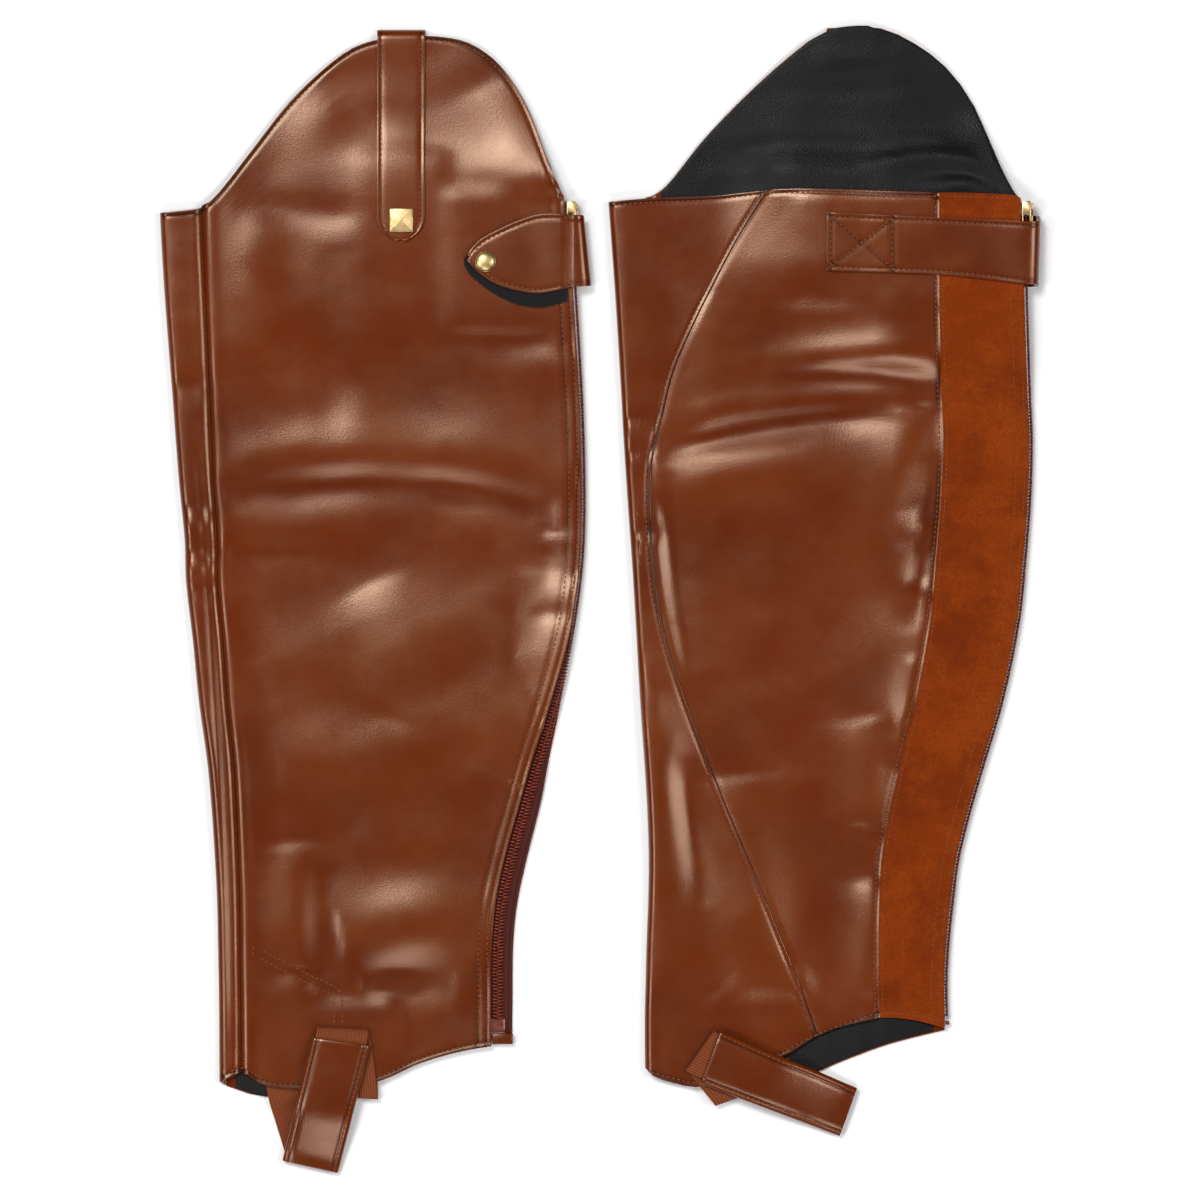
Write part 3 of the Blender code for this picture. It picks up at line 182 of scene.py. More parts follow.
Crease = namedtuple("Crease", "from_x from_h mid_x mid_h to_x to_h width rise")
CREASES = {
    "left": rows_of(
        Crease,
        (29, 294, 115, 303, 199, 287, 14, 1.9), (29, 281, 115, 286, 190, 271, 9.5, -1.7),
        (30, 266, 64, 266, 104, 259, 10, 0.8), (30, 252, 58, 254, 90, 254, 7, -0.6),
        (140, 356, 170, 354, 198, 357, 8, -0.6), (136, 344, 172, 341, 198, 345, 11, 0.6),
        (36, 417, 72, 415, 112, 417, 7, -0.6), (84, 400, 83, 350, 82, 300, 9, -0.5),
        (97, 396, 98, 350, 97, 310, 14, 0.45), (94, 46, 116, 49, 142, 48, 11, -1.7),
        (84, 74, 122, 78, 162, 74, 18, 2.6), (75.4, 104, 76, 70, 77.3, 34, 8, -0.9),
        (64, 114, 65, 84, 64, 54, 14, 2.0), (70, 50, 66, 34, 74, 14, 11, 1.5),
        (62, 24, 84, 36, 108, 26, 8, -1.1), (200, 244, 192, 192, 172, 140, 24, 2.4),
        (102, 238, 114, 205, 110, 176, 17, 1.4), (56, 150, 120, 160, 178, 182, 22, 2.4),
        (50, 196, 110, 213, 168, 216, 24, 1.6), (96, 128, 130, 118, 158, 122, 14, 1.0),
        (48, 340, 46, 380, 49, 418, 13, 1.1), (188, 384, 180, 430, 158, 478, 16, 1.8),
        (60, 424, 70, 446, 88, 466, 13, 0.8), (182, 265, 190, 264, 200, 266, 3.6, -0.4),
        (184, 258, 192, 259, 200, 257, 3.6, 0.3), (180, 253, 190, 252, 200, 254, 3.8, -0.4),
        (183, 244, 191, 242, 199, 243, 4.2, -0.4), (180, 227, 188, 224, 197, 226, 4.4, -0.4),
        (3, 338, 13, 334, 26, 335, 5.5, -0.7), (5, 280, 15, 275, 27, 276, 5.5, -0.7),
        (6, 256, 17, 254, 28, 250, 5.0, -0.8), (8, 241, 19, 236, 29, 236, 4.6, -0.6),
        (8, 246, 19, 246, 29, 244, 5, 0.5), (4, 268, 15, 268, 27, 266, 5, 0.5),
        (18, 306, 28.4, 150, 32, 2, 2.6, -0.8),
    ),
    "right": rows_of(
        Crease,
        (56, 338, 111.4, 349, 160, 345, 7.5, 1.5), (66, 328, 114, 337, 162, 333, 7.5, -1.5),
        (40, 316, 92.6, 328, 146, 325, 8, 1.7), (22, 300, 73.4, 313, 134, 324, 8, -2.2),
        (24, 284, 66.2, 291, 118, 296, 16, 2.6), (147, 324, 138, 294, 110, 240, 14, 2.8),
        (116, 306, 111, 286, 100, 258, 7, -0.8), (154, 300, 151, 259.2, 145, 216, 5.5, -1.3),
        (152, 172, 143, 214, 128, 250, 20, 1.6), (48, 296, 46, 335, 56, 374, 15, 1.3),
        (64, 250, 60, 226, 66, 196, 18, 1.2), (30, 36, 29, 130, 29, 222, 12, 1.2),
        (122, 36, 127, 66, 128, 96, 12, 2.2), (118, 172, 124, 148, 119, 122, 12, 2.2),
        (147, 204, 144, 182, 141, 158, 5, 0.9), (141, 275, 148, 274, 156, 276, 4.0, -0.45),
        (140, 263, 148, 264, 155, 262, 4.2, 0.45), (142, 256, 148, 255, 156, 256, 3.6, -0.4),
        (141, 242, 147, 241, 154, 242, 4.2, -0.4), (139, 229, 146, 231, 154, 229, 4.0, 0.4),
        (29.3, 292, 31.2, 249.6, 40, 196, 5, -1.3), (62, 146, 68, 88, 72, 36, 22, 3.2),
        (34, 156, 40, 120, 47, 84, 6, -1.0), (44, 40, 52, 46, 60, 58, 7, -1.0),
        (160, 232, 153, 190, 144, 150, 15, 1.8), (94, 54, 92, 38, 98, 26, 9, 1.2),
        (4, 317, 13, 318, 24, 316, 3.6, -0.9), (6, 302.4, 15, 302, 24, 303, 3.4, -0.7),
        (8, 264, 16, 264, 25, 262, 4.0, -0.9), (12, 200, 20, 184, 18, 164, 6, 0.8),
    ),
}
LINING_CREASES = rows_of(
    Crease,
    (122, 438, 160, 443, 190, 434, 3.4, 1.5), (136, 430, 166, 435, 190, 427, 2.8, -1.1),
    (150, 424, 168, 430, 186, 426, 2.4, 0.9), (50, 453, 104, 455, 166, 450, 2.8, 0.6),
    (60, 446, 100, 447, 150, 443, 2.8, -0.6), (74, 476, 112, 474, 152, 477, 3.4, -0.6),
    (44, 434, 92, 436, 140, 433, 3.8, 0.6), (96, 492, 120, 490, 146, 493, 4.0, 0.5),
)

Press = namedtuple("Press", "from_x to_x from_h to_h gap")
PRESSES = {
    "left": (
        Press(52, 108, -12, 34, HEM_GAP),
        Press(100, 132, 396, 440, BODY_GAP),
        Press(142, 206, 366, 420, 3.0),
    ),
    "right": (
        Press(40, 124, -12, 34, HEM_GAP),
        Press(98, 206, 376, 420, 3.0),
    ),
}

Lift = namedtuple("Lift", "from_x to_x from_h to_h rise")
STRAP_LIFT = STRAP + SEAM
STUD_LIFT = STUD_HIGH + SEAM + TAB + SEAM
FLAP_LIFT = SNAP_HIGH + SEAM + STRAP + SEAM + PATCH + SEAM
LIFTS = {
    "left": (Lift(96, 210, 376, 422, STRAP_LIFT),),
    "right": (
        Lift(96, 136, 395, 425, STUD_LIFT),
        Lift(138, 210, 362, 425, FLAP_LIFT),
        Lift(96, 136, 395, 520, TAB + SEAM),
    ),
}

Band = namedtuple("Band", "from_zip top bottom")
SEWN_LEG = rows_of(
    Band,
    (96.6, 415.7, 387.8), (70.0, 414.4, 387.0), (43.7, 413.3, 385.9), (20.0, 412.2, 383.6),
    (3.0, 411.4, 381.4),
)
FLAP = rows_of(
    Band,
    (1.0, 414.6, 380.4), (16.0, 414.9, 377.2), (27.0, 411.8, 378.2), (38.0, 406.8, 381.6),
    (45.6, 402.4, 386.6), (49.6, 398.0, 391.0), (50.8, 395.6, 393.4),
)
FELT = rows_of(
    Band,
    (4.0, 404.0, 373.4), (16.0, 404.0, 370.4), (26.0, 404.0, 371.4), (38.3, 402.0, 376.6),
    (49.3, 397.4, 385.0), (53.2, 393.6, 390.6),
)
TURN_REACH = {"left": (7.6, 4.2), "right": (4.6, 5.6)}
TURN_STEPS = 18
TURN_BOXED = 0.47
SNAP_AT = (43.0, 392.2)

Strip = namedtuple("Strip", "height left right")
TABS = {
    "left": Strip(500.6, 103.8, 126.6),
    "right": Strip(504.6, 104.6, 127.4),
}
TAB_END = 414.0
STUD_AT = {"left": (115.6, 412.0), "right": (116.4, 412.0)}

Cross = namedtuple("Cross", "near_x near_h far_x far_h z")
ELASTICS = {
    "left": rows_of(
        Cross,
        (49.0, 10.0, 72.9, 17.5, 3.4), (51.3, -4.0, 75.2, 3.5, 3.4),
        (52.6, -10.5, 76.4, -3.2, 3.0), (54.6, -17.0, 78.6, -9.7, 0.7),
        (59.4, -32.6, 83.6, -28.5, 0.7), (60.4, -36.0, 84.8, -39.0, 0.7),
        (60.4, -37.6, 83.4, -41.2, 2.2), (60.6, -36.0, 83.4, -39.4, 3.8),
        (61.6, -31.5, 84.2, -36.2, 4.2), (63.2, -24.7, 86.0, -29.8, 5.8),
        (65.8, -14.0, 89.0, -18.8, 8.6), (67.8, -5.5, 92.0, -10.4, 9.6),
        (74.4, 21.0, 98.6, 17.0, 9.6), (75.2, 24.4, 99.6, 22.8, 9.5),
        (75.6, 26.2, 100.0, 25.0, 8.0), (76.0, 24.6, 100.4, 23.6, 6.6),
        (78.4, 10.0, 102.7, 8.0, 6.6), (80.0, -4.0, 104.2, -5.6, 6.6),
        (80.2, -6.0, 104.4, -7.6, 5.0), (80.1, -4.0, 104.3, -5.6, 3.4),
        (80.1, 4.0, 104.0, 8.0, 3.4), (79.8, 14.0, 103.2, 20.0, 3.4),
    ),
    "right": rows_of(
        Cross,
        (53.0, 2.0, 68.0, 6.0, 3.4), (51.3, -8.6, 71.0, -0.9, 3.4),
        (51.4, -10.9, 73.6, -2.6, 5.0), (50.1, -9.3, 73.4, -0.5, 6.6),
        (44.7, -2.7, 62.9, 11.5, 6.6), (39.3, 4.0, 52.7, 23.0, 6.6),
        (37.6, 5.6, 51.1, 24.7, 8.0), (39.7, 4.4, 52.6, 23.7, 9.4),
        (52.2, -0.7, 59.5, 20.1, 9.4), (68.8, -7.1, 75.9, 13.1, 9.4),
        (78.8, -10.9, 85.7, 9.0, 9.1), (88.7, -14.6, 95.5, 4.8, 7.3),
        (98.7, -18.4, 105.3, 0.6, 5.2), (106.7, -21.5, 113.2, -2.8, 3.9),
        (109.7, -22.6, 116.1, -4.0, 3.8), (111.0, -23.2, 117.4, -4.6, 2.2),
        (109.7, -22.6, 116.1, -4.0, 0.7), (100.0, -19.0, 106.5, 0.2, 1.6),
        (92.0, -16.0, 98.8, 3.2, 3.1), (80.0, -3.0, 88.0, 9.5, 3.4),
        (77.0, 3.0, 86.0, 12.0, 3.4),
    ),
}
SLEEVES = {
    "left": rows_of(
        Cross,
        (72.7, 21.7, 101.0, 17.8, 7.4), (69.2, 6.9, 97.1, 2.5, 7.4),
        (65.9, -6.7, 93.4, -11.6, 7.3), (63.9, -15.2, 91.2, -20.4, 6.2),
        (61.4, -25.6, 88.4, -31.2, 3.4), (59.7, -32.7, 86.5, -38.5, 1.8),
        (58.6, -37.4, 85.2, -43.4, 1.5),
    ),
    "right": rows_of(
        Cross,
        (44.5, -0.5, 54.0, 25.2, 7.4), (60.1, -6.4, 69.1, 18.5, 7.4),
        (75.1, -12.1, 83.9, 12.1, 7.2), (87.7, -16.9, 96.5, 7.1, 5.2),
        (97.7, -20.7, 106.3, 2.9, 3.0), (105.7, -23.8, 114.2, -0.5, 1.7),
        (111.0, -25.8, 119.4, -2.7, 1.5),
    ),
}

CREASE_STEPS = 8
SWELL = 1.0
MID_SWELL = 0.15
FINE_SWELL = 0.05
MOST_GAP = 6.5
CHANNEL = 0.2
CREASE_DEPTH = 2.2
CREASE_WIDE = 1.5
CREASE_CREST = 0.15
SEAM_LIP = 0.04
SEAM_STEP = 0.35
SUEDE_DIP = 0.55
SHADE_HEIGHT = 2.2
SHADE_RANGE = (-0.5, 0.8)
ROW_WIDE = 0.8
NO_ROW = 1000.0
HEM_ROW = 2.2
TOP_ROW = 1.9
ZIP_ROWS = (2.0, 6.2)
SEAM_ROW = 2.0
SUEDE_ROWS = (-1.8, 1.8)
STRAP_ROW = 1.9
TAB_ROW = 1.9
SLEEVE_ROW = 2.2
SLEEVE_ROOM = 2.0
SLEEVE_CROWN = 0.35
BOX_WIDE = 29.5
TAB_MIDDLE = 116.0
TAB_COVER = 11.6
TAB_BULGE = 1.3
STEP_AT = 18.0
STEP_HALF = 14.0
STEP_RISE = 0.5
RIM_INSET = 0.7
EDGE_STEPS = (0, 0.4, 0.9, 1.5, 2.2, 3.0, 3.9, 5.0, 6.2, 7.4, 9.2)
RIM_STEPS = (0, 0.5, 1.2, 1.9, 2.6, 3.3, 4.2, 5.6)
ARC_STEPS = 12
STRAP_SHARES = (
    *(0, 0.02, 0.045, 0.07, 0.095, 0.12),
    *np.linspace(0.16, 0.84, 18),
    *(0.88, 0.905, 0.93, 0.955, 0.98, 1.0),
)
SLEEVE_AROUND = 48
TOE_LINE = np.array(
    [(49.5, 62.9), (60.0, 57.5), (72.0, 51.2), (84.0, 45.6), (87.2, 42.4), (87.4, 28.0)]
)
TOE_APART = 3.9
HEM_LINING_ROWS = (0.8, 1.6, 3, 5, 7, 9, 12, 15, 18)
TAPE_IN = 14
TAPE_BELOW = 0.8
TAPE_SEWN = (1.2, 5, 10)
FLAP_CREST = 0.25
TAB_CREST = 0.18
TAB_TURNS = (80, 66, 50, 33, 16, 0)
TAB_SHARES = (0, 0.3, 0.55, 0.68, 0.76, 0.83, 0.89, 0.95, 1)
REST_GAP = 0.05
COIL_PITCH = 1.6
COIL_LOOP = 3.5
COIL_OVERLAP = 1.15
COIL_WIRE = 0.52
COIL_RISE = 3.5
LAID_RISE = 5.4
COIL_LEAN = 82.0
LOOP_LEAN = 0.12
ZIP_FOOT = {"left": 24.0, "right": 30.0}
ZIP_HEAD = 401.0
COIL_HEAD = 415.0
SLIDER_FOOT = 409.6
SLIDER_HEAD = 421.2
SLIDER_POST = 5.6
SLIDER_WIDE = 6.2
PLATE = 0.7
PIN_RADIUS = 0.35
PIN_HEIGHT = 418.6
PIN_OUT = 1.0
EYE_RADIUS = 1.0
EYE_HOLE = 0.6
LUG = 0.8
PULL_WIDE = 2.6
PULL_TAB_WIDE = 4.2
PULL_THICK = 0.7
PULL_LONG = 21.0

WallPanel = namedtuple("WallPanel", "piece node face slot")
WALL_PANELS = {
    "lateral": WallPanel("lateral_leather", "lateral_panel", "lateral", "leather"),
    "medial": WallPanel("medial_leather", "medial_panel", "medial", "leather"),
    "suede": WallPanel("calf_suede", "suede_panel", "medial", "suede"),
}

# The stage, in metres

CAMERA_AT = (0.0, -0.0013, 6.0)
PICTURE_WIDE = 0.5742
SENSOR = 36.0
FLOOR_SIZE = 8.0
WORLD_LIGHT = 0.015
Lamp = namedtuple("Lamp", "name x y z wide deep power")
LIGHTS = (
    Lamp("key", -1.7, 2.2, 6.4, 2.2, 1.7, 270.0),
    Lamp("right", 3.6, 0.2, 5.2, 1.4, 2.6, 135.0),
    Lamp("left", -3.6, -0.9, 5.2, 1.4, 2.6, 110.0),
    Lamp("front", 0.0, -3.6, 5.2, 2.6, 1.4, 100.0),
)


# Placing and shaping


@functools.lru_cache(maxsize=None)
def columns_of(rows, column):
    """The first column of a table in rising order, and another column beside it."""
    pairs = sorted((row[0], getattr(row, column)) for row in rows)
    keys, values = np.array(pairs, dtype=float).T
    return keys, values


def read(rows, column, at):
    """A table's column at places between its rows, on a smooth curve, level past its ends."""
    keys, values = columns_of(rows, column)
    at = np.clip(at, keys[0], keys[-1])
    i = np.clip(np.searchsorted(keys, at, side="right") - 1, 0, len(keys) - 2)
    before, after = np.maximum(i - 1, 0), np.minimum(i + 2, len(keys) - 1)
    span = keys[i + 1] - keys[i]
    t = (at - keys[i]) / span
    start = (values[i + 1] - values[before]) / (keys[i + 1] - keys[before]) * span
    end = (values[after] - values[i]) / (keys[after] - keys[i]) * span
    return (
        values[i] * (2 * t**3 - 3 * t**2 + 1)
        + start * (t**3 - 2 * t**2 + t)
        + values[i + 1] * (3 * t**2 - 2 * t**3)
        + end * (t**3 - t**2)
    )


def smoothed(rows, steps):
    """A table's rows with more between them, as arrays: one for each column."""
    points = np.array(rows, dtype=float)
    before = np.vstack([points[:1], points[:-1]])
    after = np.vstack([points[2:], points[-1:], points[-1:]])
    found = []
    for i in range(len(points) - 1):
        start = (points[i + 1] - before[i]) / 2
        end = (after[i] - points[i]) / 2
        for k in range(steps):
            t = k / steps
            found.append(
                points[i] * (2 * t**3 - 3 * t**2 + 1)
                + start * (t**3 - 2 * t**2 + t)
                + points[i + 1] * (3 * t**2 - 2 * t**3)
                + end * (t**3 - t**2)
            )
    found.append(points[-1])
    return np.array(found).T


def mix(a, b, t):
    return a + (b - a) * t


def ease(t):
    """A smooth step from 0 to 1."""
    t = np.clip(t, 0.0, 1.0)
    return t * t * (3 - 2 * t)


def bell(distance, width):
    return np.exp(-((distance / width) ** 2))


def outside(box, x, h):
    """How far points lie outside a named rectangle of x and height."""
    across = np.maximum(np.maximum(box.from_x - x, x - box.to_x), 0.0)
    along = np.maximum(np.maximum(box.from_h - h, h - box.to_h), 0.0)
    return np.hypot(across, along)


def crease_rise(crease, x, h):
    """Height that one crease adds: a bell across a bent line, fading at both ends."""
    t = np.linspace(0, 1, CREASE_STEPS + 1)
    bend_x = 2 * crease.mid_x - (crease.from_x + crease.to_x) / 2
    bend_h = 2 * crease.mid_h - (crease.from_h + crease.to_h) / 2
    line_x = mix(mix(crease.from_x, bend_x, t), mix(bend_x, crease.to_x, t), t)
    line_h = mix(mix(crease.from_h, bend_h, t), mix(bend_h, crease.to_h, t), t)
    nearest = np.full(np.shape(x), 1e9)
    place = np.zeros(np.shape(x))
    for i in range(CREASE_STEPS):
        step_x, step_h = line_x[i + 1] - line_x[i], line_h[i + 1] - line_h[i]
        part = ((x - line_x[i]) * step_x + (h - line_h[i]) * step_h) / (step_x**2 + step_h**2)
        part = np.clip(part, 0.0, 1.0)
        away = np.hypot(x - line_x[i] - part * step_x, h - line_h[i] - part * step_h)
        closer = away < nearest
        nearest = np.where(closer, away, nearest)
        place = np.where(closer, (i + part) / CREASE_STEPS, place)
    fade = np.sqrt(np.clip(4 * place * (1 - place), 0.0, 1.0))
    return crease.rise * bell(nearest, crease.width) * fade


def ripple(x, h, size, seed):
    """A slow uneven swell between -1 and 1, from a few crossed waves."""
    turn = np.random.default_rng(seed).uniform(0, 2 * math.pi, (5, 2))
    total = np.zeros(np.broadcast(x, h).shape)
    for i, (lean, start) in enumerate(turn):
        pace = 2 * math.pi / (size * (0.7 + 0.25 * i))
        total = total + np.sin((x * math.cos(lean) + h * math.sin(lean)) * pace + start)
    return total / 3


def edge_places(width, step):
    """Distances across a panel: close together at both edges, even between."""
    close = np.array(EDGE_STEPS)
    count = max(int((width - 2 * close[-1]) / step), 2)
    inner = np.linspace(close[-1], width - close[-1], count + 1)
    return np.concatenate([close[:-1], inner, width - close[:-1][::-1]])


class Gaiter:
    """The edges, seams and faces of one gaiter, worked out from its tables."""

    def __init__(self, side):
        self.side = side
        self.upper = UPPER[side]
        self.lower = LOWER[side]
        self.origin = PLACE[side]
        wall = self.wall("lateral")
        x, h = self.grid(
            "lateral",
            lambda h: self.seam("lateral", h),
            lambda h: self.panel_edge(wall, h),
            2.0,
        )
        self.raised_edge = x[-1], h[-1]

    def wall(self, face):
        """Which of the two walls a face is."""
        return "upper" if face == self.upper else "lower"

    def fold(self, h):
        return read(SECTIONS[self.side], "fold", h)

    def zip(self, h):
        return read(SECTIONS[self.side], "zip", h)

    def lie(self, h):
        return read(ZIPS[self.side], "lie", h)

    def panel_edge(self, wall, h):
        """Where a wall ends beside the zip."""
        return self.zip(h) - read(ZIPS[self.side], wall + "_edge", h)

    def seam(self, face, h):
        """Where a face's shin panel ends."""
        rows = CREASE_SEAM if face == "lateral" else CURVED_SEAM
        return self.fold(h) + read(rows, "away", h)

    def suede(self, h):
        return self.zip(h) - read(SUEDE_SEAM, "away", h)

    def top(self, face, x):
        return read(LATERAL_TOP if face == "lateral" else MEDIAL_TOP, self.side, x)

    def hem(self, face, x):
        rows = LATERAL_HEM if face == "lateral" else MEDIAL_HEM
        return read(rows, self.side, x - self.fold(0))

    def lift(self, x, h):
        """How high the underside lies above the surface, over the pieces beneath it."""
        rise = [row.rise * ease(1 - outside(row, x, h) / LIFT_SLOPE) for row in LIFTS[self.side]]
        return np.maximum.reduce(rise)

    def creases(self, side, x, h):
        return sum(crease_rise(crease, x, h) for crease in CREASES[side])

    def tucked(self, x, h):
        """How far the underside stands off the surface in its own creases and seams."""
        other = "right" if self.side == "left" else "left"
        rise = 0.5 * np.clip(-self.creases(other, x, h), 0.0, 1.2)
        rise = np.maximum(rise, 0.7 * bell(x - self.seam(self.lower, h), 1.6))
        if self.lower == "medial":
            rise = np.maximum(rise, 0.4 * bell(x - self.suede(h), 1.6))
        return rise

    def under(self, x, h):
        """The outer face of the lower wall."""
        return self.lift(x, h) + self.tucked(x, h)

    def lower_top(self, x, h):
        return self.lift(x, h) + LEATHER

    def gap(self, x, h):
        """The room between the walls: fuller at both edges, pressed and creased between."""
        from_fold, from_zip = x - self.fold(h), self.zip(h) - x
        room = BODY_GAP
        room = room + (EDGE_GAP - BODY_GAP) * bell(np.maximum(from_fold - EDGE_GAP, 0), ROLL)
        room = room + (EDGE_GAP - BODY_GAP) * bell(from_zip, ROLL)
        room = room + self.creases(self.side, x, h)
        room = room + SWELL * ripple(x, h, 110.0, 3) + FINE_SWELL * ripple(x, h, 26.0, 8)
        room = room + MID_SWELL * ripple(x, h, 50.0, 17)
        for press in PRESSES[self.side]:
            room = mix(room, press.gap, ease(1 - outside(press, x, h) / PRESS_SLOPE))
        room = np.clip(room, LEAST_GAP, MOST_GAP)
        edge = ease(1 - from_zip / ZIP_ROLL)
        return mix(room, np.maximum(room, ZIP_GAP), edge)

    def edge_top(self, face, x):
        """A face's top edge where its panel really ends."""
        if face == "medial":
            return self.top(face, x)
        line_x, line_h = self.raised_edge
        return np.where(x < line_x[0], self.top(face, x), np.interp(x, line_x, line_h))

    def from_top(self, face, x, h):
        """How far places lie inside a face's top edge, square to it."""
        slope = (self.edge_top(face, x + 1) - self.edge_top(face, x - 1)) / 2
        return (self.edge_top(face, x) - h) / np.hypot(1, slope)

    def stitched(self, x, h):
        """1 along the upper face's stitched rows, fading to 0 beside them."""
        from_zip = self.panel_edge("upper", h) - x
        rows = [from_zip - inset for inset in ZIP_ROWS]
        rows.append(h - self.hem(self.upper, x) - HEM_ROW)
        rows.append(self.from_top(self.upper, x, h) - TOP_ROW)
        if self.upper == "medial":
            rows.append(x - self.seam("medial", h) + SEAM_ROW)
            rows += [x - self.suede(h) - away for away in SUEDE_ROWS]
        return sum(bell(row, ROW_WIDE) for row in rows)

    def seam_dip(self, x, h):
        """How far the upper face sinks at its seams and stitched rows."""
        away = x - self.seam(self.upper, h)
        if self.upper == "lateral":
            crest = CREASE_CREST * bell(np.abs(away) - 4.0, 2.5)
            dip = CREASE_DEPTH * bell(away, CREASE_WIDE) - crest
        else:
            lip = SEAM_LIP * bell(away, 1.2)
            dip = np.where(away < 0, -lip, SEAM_STEP * bell(away, 1.6))
            dip = dip + SUEDE_DIP * bell(x - self.suede(h), 0.9)
        return dip + CHANNEL * self.stitched(x, h)

    def upper_inside(self, x, h):
        """The inner face of the upper wall."""
        height = self.lower_top(x, h) + self.gap(x, h) - self.seam_dip(x, h)
        height = np.maximum(height, self.lower_top(x, h) + 0.4)
        if self.upper == "lateral":
            low = LINING + LINING_GAP + 0.35 * (1 + ripple(x, h, 40.0, 5))
            low = low + np.maximum(self.creases(self.side, x, h), -0.5)
            low = low - CHANNEL * self.stitched(x, h)
            height = mix(height, low, ease((h - 434) / 50))
        return height

    def worn(self, x, h):
        """Painted highlight on raised leather and painted shade in the creases, seam grooves,
        stitched rows and along the rims, between -1 and 1.
        """
        # Painted highlight on crease ridges and painted shade in crease troughs.
        shade = np.clip(self.creases(self.side, x, h) / SHADE_HEIGHT, *SHADE_RANGE)
        rim = np.minimum(h - self.hem(self.upper, x), self.top(self.upper, x) - h)
        rim = np.minimum(rim, self.zip(h) - x)
        rim = np.minimum(rim, x - self.fold(h))
        # Painted shade in the seam's groove.
        groove = bell(x - self.seam(self.upper, h), 1.3 if self.upper == "lateral" else 0.6)
        # Painted shade within a few millimetres of the rims and along the stitched rows.
        shade = shade - 0.6 * bell(np.maximum(rim, 0), 2.2) - 1.2 * self.stitched(x, h)
        return np.clip(shade - 1.6 * groove, -1, 1)

    def world(self, x, h, z):
        """Points in metres from local places in millimetres."""
        x, h, z = np.broadcast_arrays(x, h, z)
        return np.stack([self.origin[0] + x, self.origin[1] + h, z + FLOOR], axis=-1) * MM

    def heights(self, hem, top, step):
        """Columns of heights between the hem and the top, close together at both rims."""
        hem, top = np.atleast_1d(hem)[None, :], np.atleast_1d(top)[None, :]
        rim = np.array(RIM_STEPS)[:, None]
        blank = 0 * hem

        def part(low, high, count):
            return mix(low, high, np.linspace(0, 1, count + 1)[1:, None])

        low_count = max(int(np.mean(TOP_OF_HEM - hem - RIM_STEPS[-1]) / step), 2)
        top_count = max(int((np.max(top) - SHOULDER - RIM_STEPS[-1]) / step), 3)
        return np.vstack(
            [
                hem + rim,
                part(hem + RIM_STEPS[-1], TOP_OF_HEM + blank, low_count),
                part(TOP_OF_HEM + blank, SHOULDER + blank, int((SHOULDER - TOP_OF_HEM) / step)),
                part(SHOULDER + blank, top - RIM_STEPS[-1], top_count),
                top - rim[::-1][1:],
            ]
        )

    def grid(self, face, left, right, step):
        """Places (x and height) that cover a panel between two edges."""
        low_left = left(5.0)
        width = right(20.0) - low_left
        places = edge_places(width, step)
        share = places / width
        high = mix(left(PANEL_TOP), right(PANEL_TOP), share)
        h = self.heights(self.hem(face, low_left + places), self.top(face, high), step)
        ratio = (right(h) - left(h)) / width
        near = left(h) + places * mix(1.0, ratio, np.minimum(2 * share, 1))
        far = right(h) - (width - places) * mix(1.0, ratio, np.minimum(2 - 2 * share, 1))
        return np.where(share < 0.5, near, far), h


GAITERS = {side: Gaiter(side) for side in SIDES}


# Meshes


def clear_selection():
    bpy.ops.object.select_all(action="DESELECT")


def quads(rows, columns, closed=False):
    """Faces of a grid of points, row by row. Closed joins the last column to the first."""
    spot = np.arange(rows * columns).reshape(rows, columns)
    if closed:
        spot = np.hstack([spot, spot[:, :1]])
    corners = [spot[:-1, :-1], spot[:-1, 1:], spot[1:, 1:], spot[1:, :-1]]
    return np.stack(corners, axis=-1).reshape(-1, 4)


def choose(piece):
    """Makes a piece the only one selected, and the active one."""
    clear_selection()
    piece.select_set(True)
    bpy.context.view_layer.objects.active = piece


def mesh_piece(name, points, faces):
    mesh = bpy.data.meshes.new(name)
    mesh.from_pydata(points.reshape(-1, 3).tolist(), [], faces)
    mesh.polygons.foreach_set("use_smooth", np.ones(len(mesh.polygons), dtype=bool))
    piece = bpy.data.objects.new(name, mesh)
    bpy.context.scene.collection.objects.link(piece)
    return piece


def cloth(name, points, thickness, worn=None, closed=False, offset=1.0, rim=0.35):
    """A sheet through rows of points, with its wall, rounded rims and a map of its own length."""
    rows, columns = points.shape[:2]
    piece = mesh_piece(name, points, quads(rows, columns, closed).tolist())
    mesh = piece.data
    across = np.linalg.norm(np.diff(points, axis=1), axis=2).mean(axis=0)
    along = np.linalg.norm(np.diff(points, axis=0), axis=2).mean(axis=1)
    u = np.concatenate([[0], np.cumsum(across)])
    v = np.concatenate([[0], np.cumsum(along)])
    spots = np.stack(np.meshgrid(u, v), axis=-1).reshape(-1, 2)
    loops = np.empty(len(mesh.loops), dtype=np.int32)
    mesh.loops.foreach_get("vertex_index", loops)
    uv_map = mesh.uv_layers.new(name="cut")
    uv_map.data.foreach_set("uv", spots[loops].ravel())
    # Per-point painted light: highlight on raised leather, shade in creases, grooves, stitched
    # rows and at rims.
    layer = mesh.attributes.new("worn", "FLOAT", "POINT")
    values = np.zeros(rows * columns) if worn is None else np.broadcast_to(worn, (rows, columns))
    layer.data.foreach_set("value", np.ascontiguousarray(values, dtype=np.float32).ravel())
    wall = piece.modifiers.new("Wall", "SOLIDIFY")
    wall.thickness = thickness * MM
    wall.offset = offset
    if rim:
        round_rim = piece.modifiers.new("Rim", "BEVEL")
        round_rim.width = rim * MM
        round_rim.segments = 2
        round_rim.limit_method = "ANGLE"
        round_rim.angle_limit = math.radians(60)
    return piece


def finish(piece, material, slot, body, *nodes):
    """Gives a piece its finish, its body and the solids that it stands for."""
    piece.data.materials.clear()
    piece.data.materials.append(material)
    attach(piece, body)
    if nodes:
        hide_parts(*nodes)


